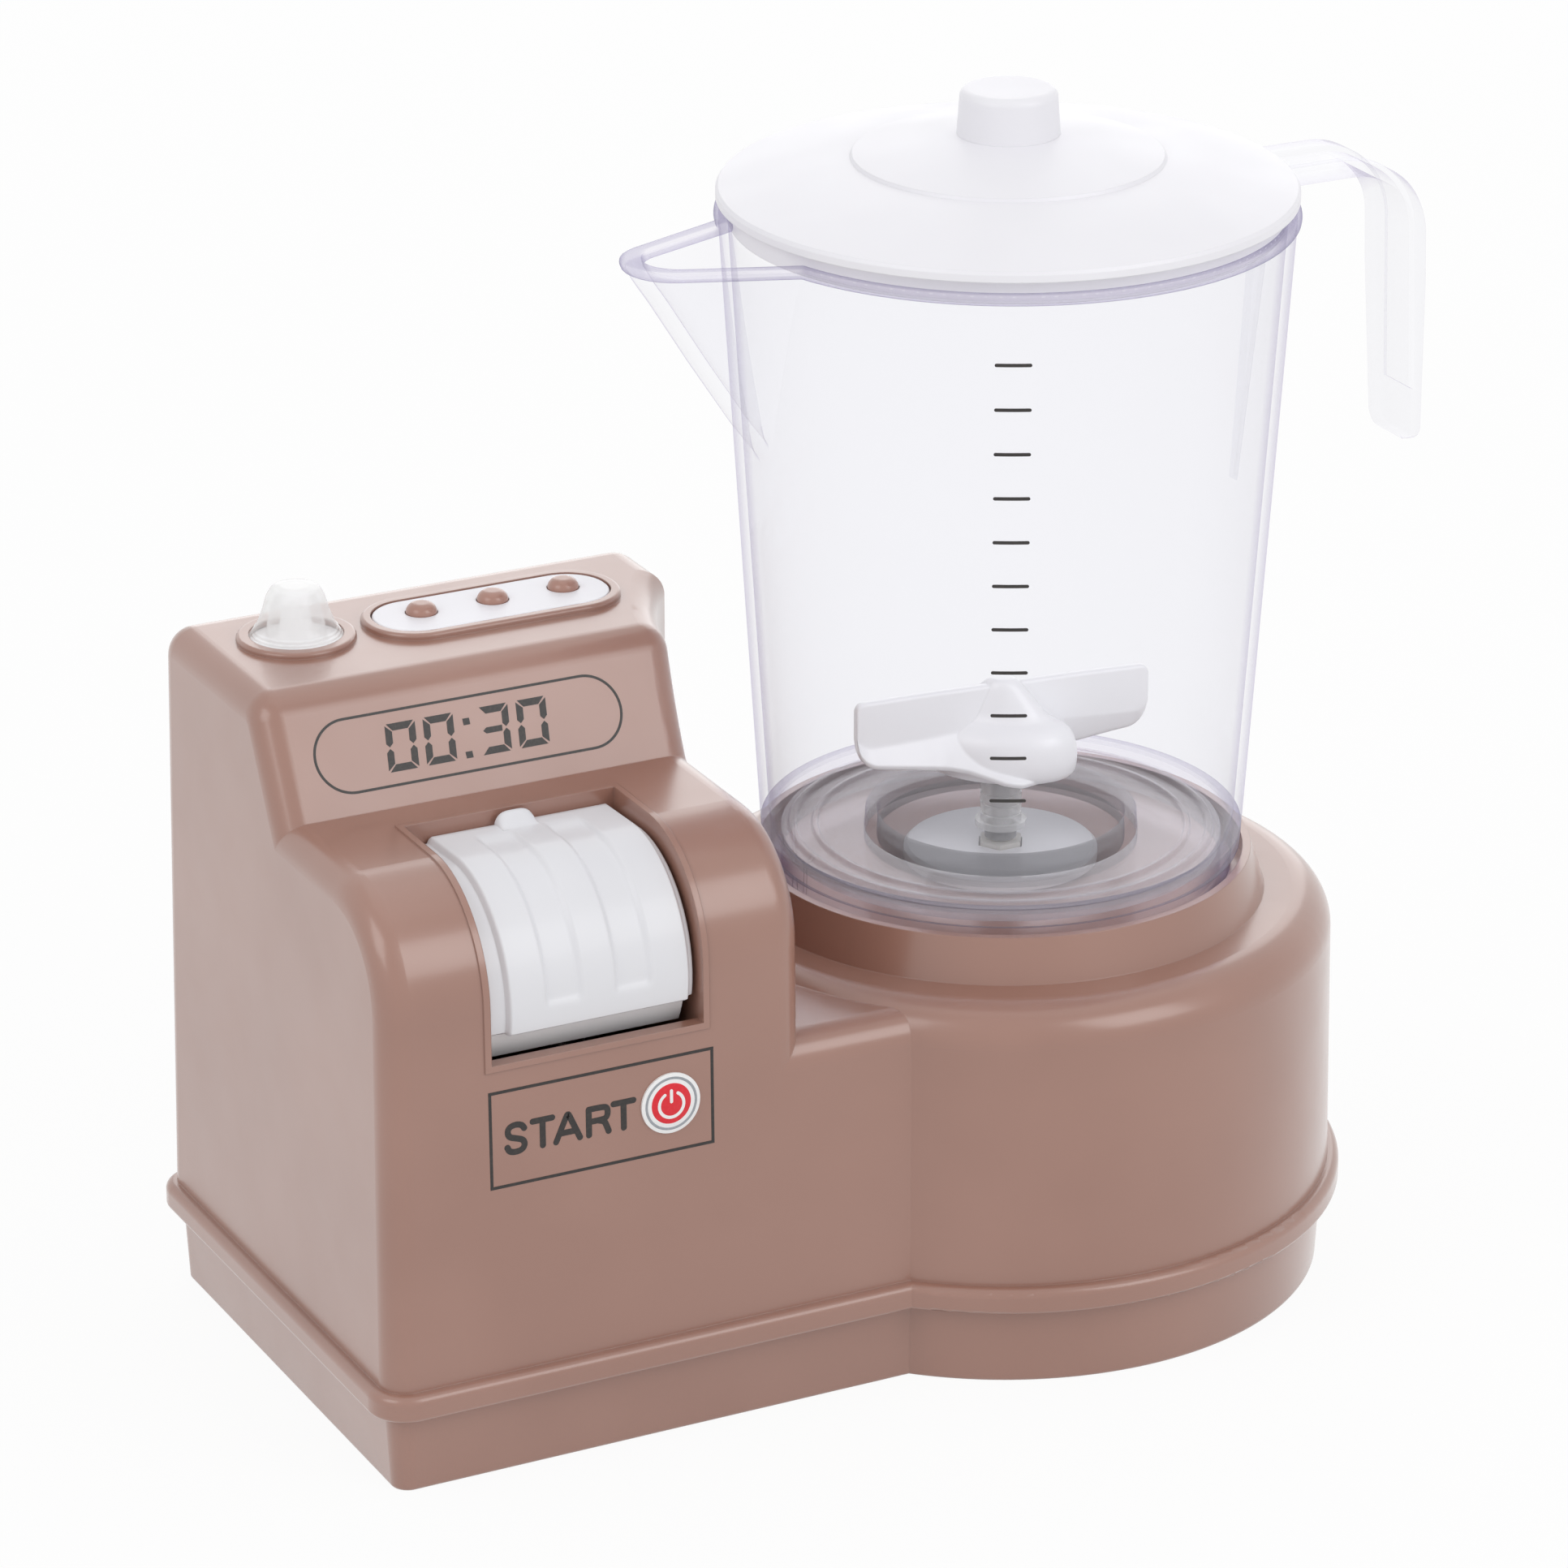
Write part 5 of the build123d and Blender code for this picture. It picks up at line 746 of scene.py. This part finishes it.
def disc(centre, radius, place, high, hole=0.0, low=-INK_SUNK, columns=64):
    """A thin disc or ring: circles at the rim's foot and top, and at the hole's."""
    profile = [(radius, low), (radius, high - 0.6 * DISC_EDGE), (radius - DISC_EDGE, high)]
    if hole:
        profile += [(hole + DISC_EDGE, high), (hole, high - 0.6 * DISC_EDGE), (hole, low)]
    r, height = np.array(profile).T
    return place(*np.moveaxis(rings(r, r, height, columns, centre), -1, 0))


# %% [markdown]
# Each face has a function that turns a place on it and a height over it into (x, y, z).

# %% Faces
FRONT_Y, FRONT_Z, FRONT_LEAN, FRONT_UP = -40.2, 17.8, math.radians(0.85), 0.015
PANEL_Z, PANEL_LEAN = 97.8, math.radians(30)
SCALE_TURN = math.radians(-117.3)


def on_front(x, z, out):
    """The tower's front face, which leans back with height by the tangent of its lean."""
    return xyz(x, FRONT_Y + math.tan(FRONT_LEAN) * (z - FRONT_Z) - out, z + FRONT_UP * out)


def on_panel(x, up, out):
    """The display panel, which leans back from its foot at the height PANEL_Z."""
    s, c = math.sin(PANEL_LEAN), math.cos(PANEL_LEAN)
    return xyz(x, up * s - out * c, PANEL_Z + up * c + out * s)


def on_jug(across, z, out):
    """The jug's cone at the scale's azimuth: a distance across turns by across / radius."""
    turn = SCALE_TURN + across / jug_r(z)
    return xyz((jug_r(z) + out) * np.cos(turn), (jug_r(z) + out) * np.sin(turn), z)


# %% [markdown]
# The jug's scale is eleven short dashes, evenly spaced, which wrap round the cone.

# %% Scale on the jug
DASH_HALF, DASH_WIDTH, SCALE_TOP, SCALE_FOOT, DASHES = 2.6, 0.55, 169.1, 95.5, 11

dashes = [plate(stroke(straight(-DASH_HALF, z, DASH_HALF, z, 9), DASH_WIDTH), on_jug)
          for z in np.linspace(SCALE_TOP, SCALE_FOOT, DASHES)]
skin("jug_scale", dashes, "jug", black_ink)

# %% [markdown]
# The display shows 00:30 in seven segments, slanted like on a real one. A segment is a
# bar with mitred ends, and narrow gaps keep neighbours apart. One side segment, mirrored
# across and up and down, gives all four, and a digit only says which segments it shows.

# %% Display
DIGIT_LOW, DIGIT_W, DIGIT_H, SEGMENT, GAP, SLANT = 5.55, 5.15, 7.6, 1.15, 0.13, 0.128
DOT_W, DOT_H = 1.15, 1.06
OUTLINE_X, OUTLINE_UP, OUTLINE_R, OUTLINE_PEN = (-113.1, -72.3), 9.32, 5.85, 0.42


def segment(outline, left):
    """A plate from a segment's outline, given as an even number of corners, the first half
    up one edge and the second half back along the other. The slant moves a point to the
    right by SLANT times its height."""
    half = len(outline) // 2
    edges = np.stack([outline[:half], outline[half:][::-1]], axis=1)
    edges[..., 0] += left + SLANT * edges[..., 1]
    edges[..., 1] += DIGIT_LOW
    return plate(edges, on_panel)


W, H, T, G = DIGIT_W, DIGIT_H, SEGMENT, GAP
M = H / 2
low_bar = np.array([(2 * G, 0), (T + G, T), (W - T - G, T), (W - 2 * G, 0)])
side_bar = np.array([(0, 2 * G), (0, M - T / 2 - G), (T / 2, M - G), (T, M - T / 2 - G),
                     (T, T + G), (T, T + G)])
segments = {
    "low": low_bar, "top": (0, H) + (1, -1) * low_bar,
    "left_low": side_bar, "left_top": (0, H) + (1, -1) * side_bar,
    "right_low": (W, 0) + (-1, 1) * side_bar, "right_top": (W, H) - side_bar,
    "middle": np.array([(T / 2, M), (T, M + T / 2 - 0.1), (W - T - G, M + T / 2 - 0.1),
                        (W - T - G, M - T / 2 + 0.1), (T, M - T / 2 + 0.1), (T / 2, M)]),
}
nought = ["low", "top", "left_low", "left_top", "right_low", "right_top"]
three = ["low", "top", "middle", "right_low", "right_top"]
shown = ((-107.35, nought), (-100.85, nought), (-91.4, three), (-84.85, nought))
digits = [segment(segments[part], left) for left, parts in shown for part in parts]
for left, up in ((-93.35, 10.8), (-94.05, DIGIT_LOW)):
    dot = straight(left, up + DOT_H / 2, left + DOT_W, up + DOT_H / 2)
    digits.append(plate(stroke(dot, DOT_H, round_ends=False), on_panel))
skin("display_digits", digits, "base", black_ink)

half_turn = np.linspace(0, np.pi, 33)
half_round = OUTLINE_R * np.stack([np.sin(half_turn), -np.cos(half_turn)], axis=1)
display_path = filled(np.concatenate([(OUTLINE_X[1], OUTLINE_UP) + half_round,
                                      (OUTLINE_X[0], OUTLINE_UP) - half_round]), 4.0)
skin("display_outline", [plate(stroke(display_path, OUTLINE_PEN, closed=True), on_panel)],
     "base", black_ink, ring=True)

# %% [markdown]
# On the front face a frame holds the word START, which tells the child what the lever
# does, and a round badge with the power sign of any switch: a ring broken by a bar. The
# frame's upright lines are a little lower than its level ones, so that no two faces lie
# in the same plane where they cross, and the letters' strokes differ for the same reason.

# %% START frame and letters
FRAME_PEN, LETTER_PEN, HIGH_STEP = 0.5, 1.0, 0.002

frame_lines = [
    plate(stroke(straight(*ends), FRAME_PEN, round_ends=False), on_front, high)
    for ends, high in (
        ((-110.45, 65.35, -72.1, 65.35), INK_HIGH), ((-110.45, 49.5, -72.1, 49.5), INK_HIGH),
        ((-110.2, 49.6, -110.2, 65.25), 0.036), ((-72.35, 49.6, -72.35, 65.25), 0.036))]
skin("start_frame", frame_lines, "base", black_ink)

letter_paths = [
    curved([(-104.55, 58.6), (-104.95, 59.25), (-106.05, 59.5), (-107.15, 59.15), (-107.4, 58.3),
            (-107.05, 57.5), (-105.95, 57.15), (-104.8, 56.75), (-104.45, 55.95), (-104.85, 55.1),
            (-106.05, 54.85), (-107.1, 55.1), (-107.45, 55.85)]),
    straight(-103.1, 59.35, -99.8, 59.35), straight(-101.45, 59.35, -101.45, 55.05),
    curved([(-99.2, 55.05), (-97.45, 58.95), (-97.15, 59.45), (-96.85, 58.95), (-95.15, 55.05)], 2),
    straight(-98.5, 56.35, -95.85, 56.35), straight(-93.6, 55.05, -93.6, 59.35),
    curved([(-93.6, 59.35), (-91.7, 59.35), (-90.55, 59.25), (-90.3, 58.35), (-90.6, 57.35),
            (-91.7, 57.25), (-93.6, 57.25)]),
    curved([(-91.9, 57.2), (-90.95, 56.9), (-90.6, 56.1), (-90.25, 55.1)]),
    straight(-89.35, 59.4, -85.95, 59.4), straight(-87.65, 59.4, -87.65, 55.1)]
letters = [plate(stroke(path, LETTER_PEN), on_front, INK_HIGH + HIGH_STEP * (k % 3))
           for k, path in enumerate(letter_paths)]
skin("start_letters", letters, "base", black_ink)

# %% [markdown]
# The badge is a low disc with a grey bevel, a red face and the white sign. Each layer
# starts inside the one below it, for the same reason as above.

# %% Power badge
BADGE, SIGN_Z, SIGN_R, SIGN_PEN, SIGN_HIGH = (-79.65, 57.68), 57.5, 2.1, 0.52, 0.54

skin("badge_base", [disc(BADGE, 5.03, on_front, 0.42)], "base", white_ink)
skin("badge_bevel", [disc(BADGE, 4.5, on_front, 0.47, hole=4.0, low=0.2)], "base", grey_ink,
     ring=True)
skin("badge_red", [disc(BADGE, 3.38, on_front, 0.5, low=0.2)], "base", red_ink)
sign_turn = np.radians(np.linspace(122, 418, 60))
broken_ring = np.stack([BADGE[0] + SIGN_R * np.cos(sign_turn),
                        SIGN_Z + SIGN_R * np.sin(sign_turn)], axis=1)
bar = straight(BADGE[0], 58.0, BADGE[0], 59.85)
skin("power_sign", [plate(stroke(path, SIGN_PEN), on_front, SIGN_HIGH)
                    for path in (broken_ring, bar)], "base", white_ink)

# %% [markdown]
# ## The room
# The object stands on a pale floor in a plain white room. Lamps and world light it
# evenly, at a level where a colour comes out about as it is written. Eyes and reflections
# see the room brighter than it lights, because a strength of one is white: Light Path
# tells whether a ray comes from the camera, off a gloss or through something clear. The
# floor keeps a share of its own matt shading, and with it the object's shadow.

# %% Room
ROOM_LIGHT, FLOOR_GLOW, FLOOR_HALF = 0.68, 0.93, 4.0


def seen_directly(tree):
    """1 for a camera, glossy or transmission ray, and 0 for a ray that only gives light."""
    path = add_node(tree, "ShaderNodeLightPath")
    first = add_node(tree, "ShaderNodeMath", None, {0: path.outputs["Is Camera Ray"],
                     1: path.outputs["Is Transmission Ray"]}, operation="MAXIMUM")
    both = add_node(tree, "ShaderNodeMath", None, {0: first.outputs[0],
                    1: path.outputs["Is Glossy Ray"]}, operation="MAXIMUM")
    return both.outputs[0]


world = bpy.data.worlds.new("room")
bpy.context.scene.world = world
world.use_nodes = True
world.node_tree.nodes.clear()
level = add_node(world.node_tree, "ShaderNodeMapRange", {"To Min": ROOM_LIGHT, "To Max": 1.0},
                 {"Value": seen_directly(world.node_tree)})
white = add_node(world.node_tree, "ShaderNodeBackground", {"Color": (1, 1, 1, 1)},
                 {"Strength": level.outputs["Result"]})
add_node(world.node_tree, "ShaderNodeOutputWorld", None, {"Surface": white.outputs["Background"]})

floor_material, floor_tree = new_material("pale_floor")
matt = add_node(floor_tree, "ShaderNodeBsdfDiffuse", {"Color": paint("#F2F2F2")})
glow = add_node(floor_tree, "ShaderNodeEmission", {"Color": (1, 1, 1, 1), "Strength": 1.0})
share = add_node(floor_tree, "ShaderNodeMath", {1: FLOOR_GLOW}, {0: seen_directly(floor_tree)},
                 operation="MULTIPLY")
mixed = add_node(floor_tree, "ShaderNodeMixShader", None,
                 {0: share.outputs[0], 1: matt.outputs["BSDF"], 2: glow.outputs["Emission"]})
add_node(floor_tree, "ShaderNodeOutputMaterial", None, {"Surface": mixed.outputs["Shader"]})
floor_mesh = bpy.data.meshes.new("floor")
floor_mesh.from_pydata([(x * FLOOR_HALF, y * FLOOR_HALF, 0)
                        for x, y in ((-1, -1), (1, -1), (1, 1), (-1, 1))], [], [(0, 1, 2, 3)])
floor_mesh.materials.append(floor_material)
floor = bpy.data.objects.new("floor", floor_mesh)
bpy.context.scene.collection.objects.link(floor)
print("room: world and floor")

# %% [markdown]
# One large soft lamp high on the left gives the tower's side its light. A second, on the
# right, stands where its mirror image falls on the leaning display panel and on the
# drum's rolled edge, and draws the long highlights there. A weak one overhead and one
# behind on the right lift the lid and the edges that turn away.

# %% Lamps
def aim(item, place, target):
    """Puts a lamp or camera at a place and turns its -Z axis at a target, with +Y up."""
    item.location = place
    way = Vector(target) - Vector(place)
    item.rotation_euler = way.to_track_quat("-Z", "Y").to_euler()


def soft_lamp(name, place, target, size, power):
    """A square area lamp, size metres wide, that the camera doesn't see."""
    lamp = bpy.data.lights.new(name, "AREA")
    lamp.size = size
    lamp.energy = power
    item = bpy.data.objects.new(name, lamp)
    item.visible_camera = False
    bpy.context.scene.collection.objects.link(item)
    aim(item, place, target)
    print(f"{name}: {power} W")


soft_lamp("lamp_left", (-0.9, -0.25, 0.75), (-0.05, 0, 0.08), 0.6, 1.85)
soft_lamp("lamp_right", (0.35, -0.8, 0.7), (-0.05, 0, 0.1), 0.6, 2.3)
soft_lamp("lamp_top", (0.1, 0.15, 1.15), (-0.03, 0, 0.1), 0.9, 0.6)
soft_lamp("lamp_back", (0.5, 0.95, 0.44), (-0.05, 0, 0.1), 0.8, 1.6)

# %% [markdown]
# ## The camera
# The camera looks from the front left and a little above, with a long lens, so that
# upright edges stay almost parallel.

# %% Camera
CAMERA_AT, CAMERA_TARGET = (-0.493739, -0.898289, 0.498214), (-0.037331, 0.0048, 0.087075)
CAMERA_ROLL = math.radians(-0.099)

lens = bpy.data.cameras.new("camera")
lens.sensor_width = 36.0
lens.lens = 155.31
camera = bpy.data.objects.new("camera", lens)
bpy.context.scene.collection.objects.link(camera)
aim(camera, CAMERA_AT, CAMERA_TARGET)
camera.rotation_euler.rotate_axis("Z", CAMERA_ROLL)
bpy.context.scene.camera = camera
bpy.context.scene.view_settings.view_transform = "Standard"
print("camera:", camera.name)

# %% [markdown]
# ## The end
# The view layer is brought up to date.

# %% The end
bpy.context.view_layer.update()
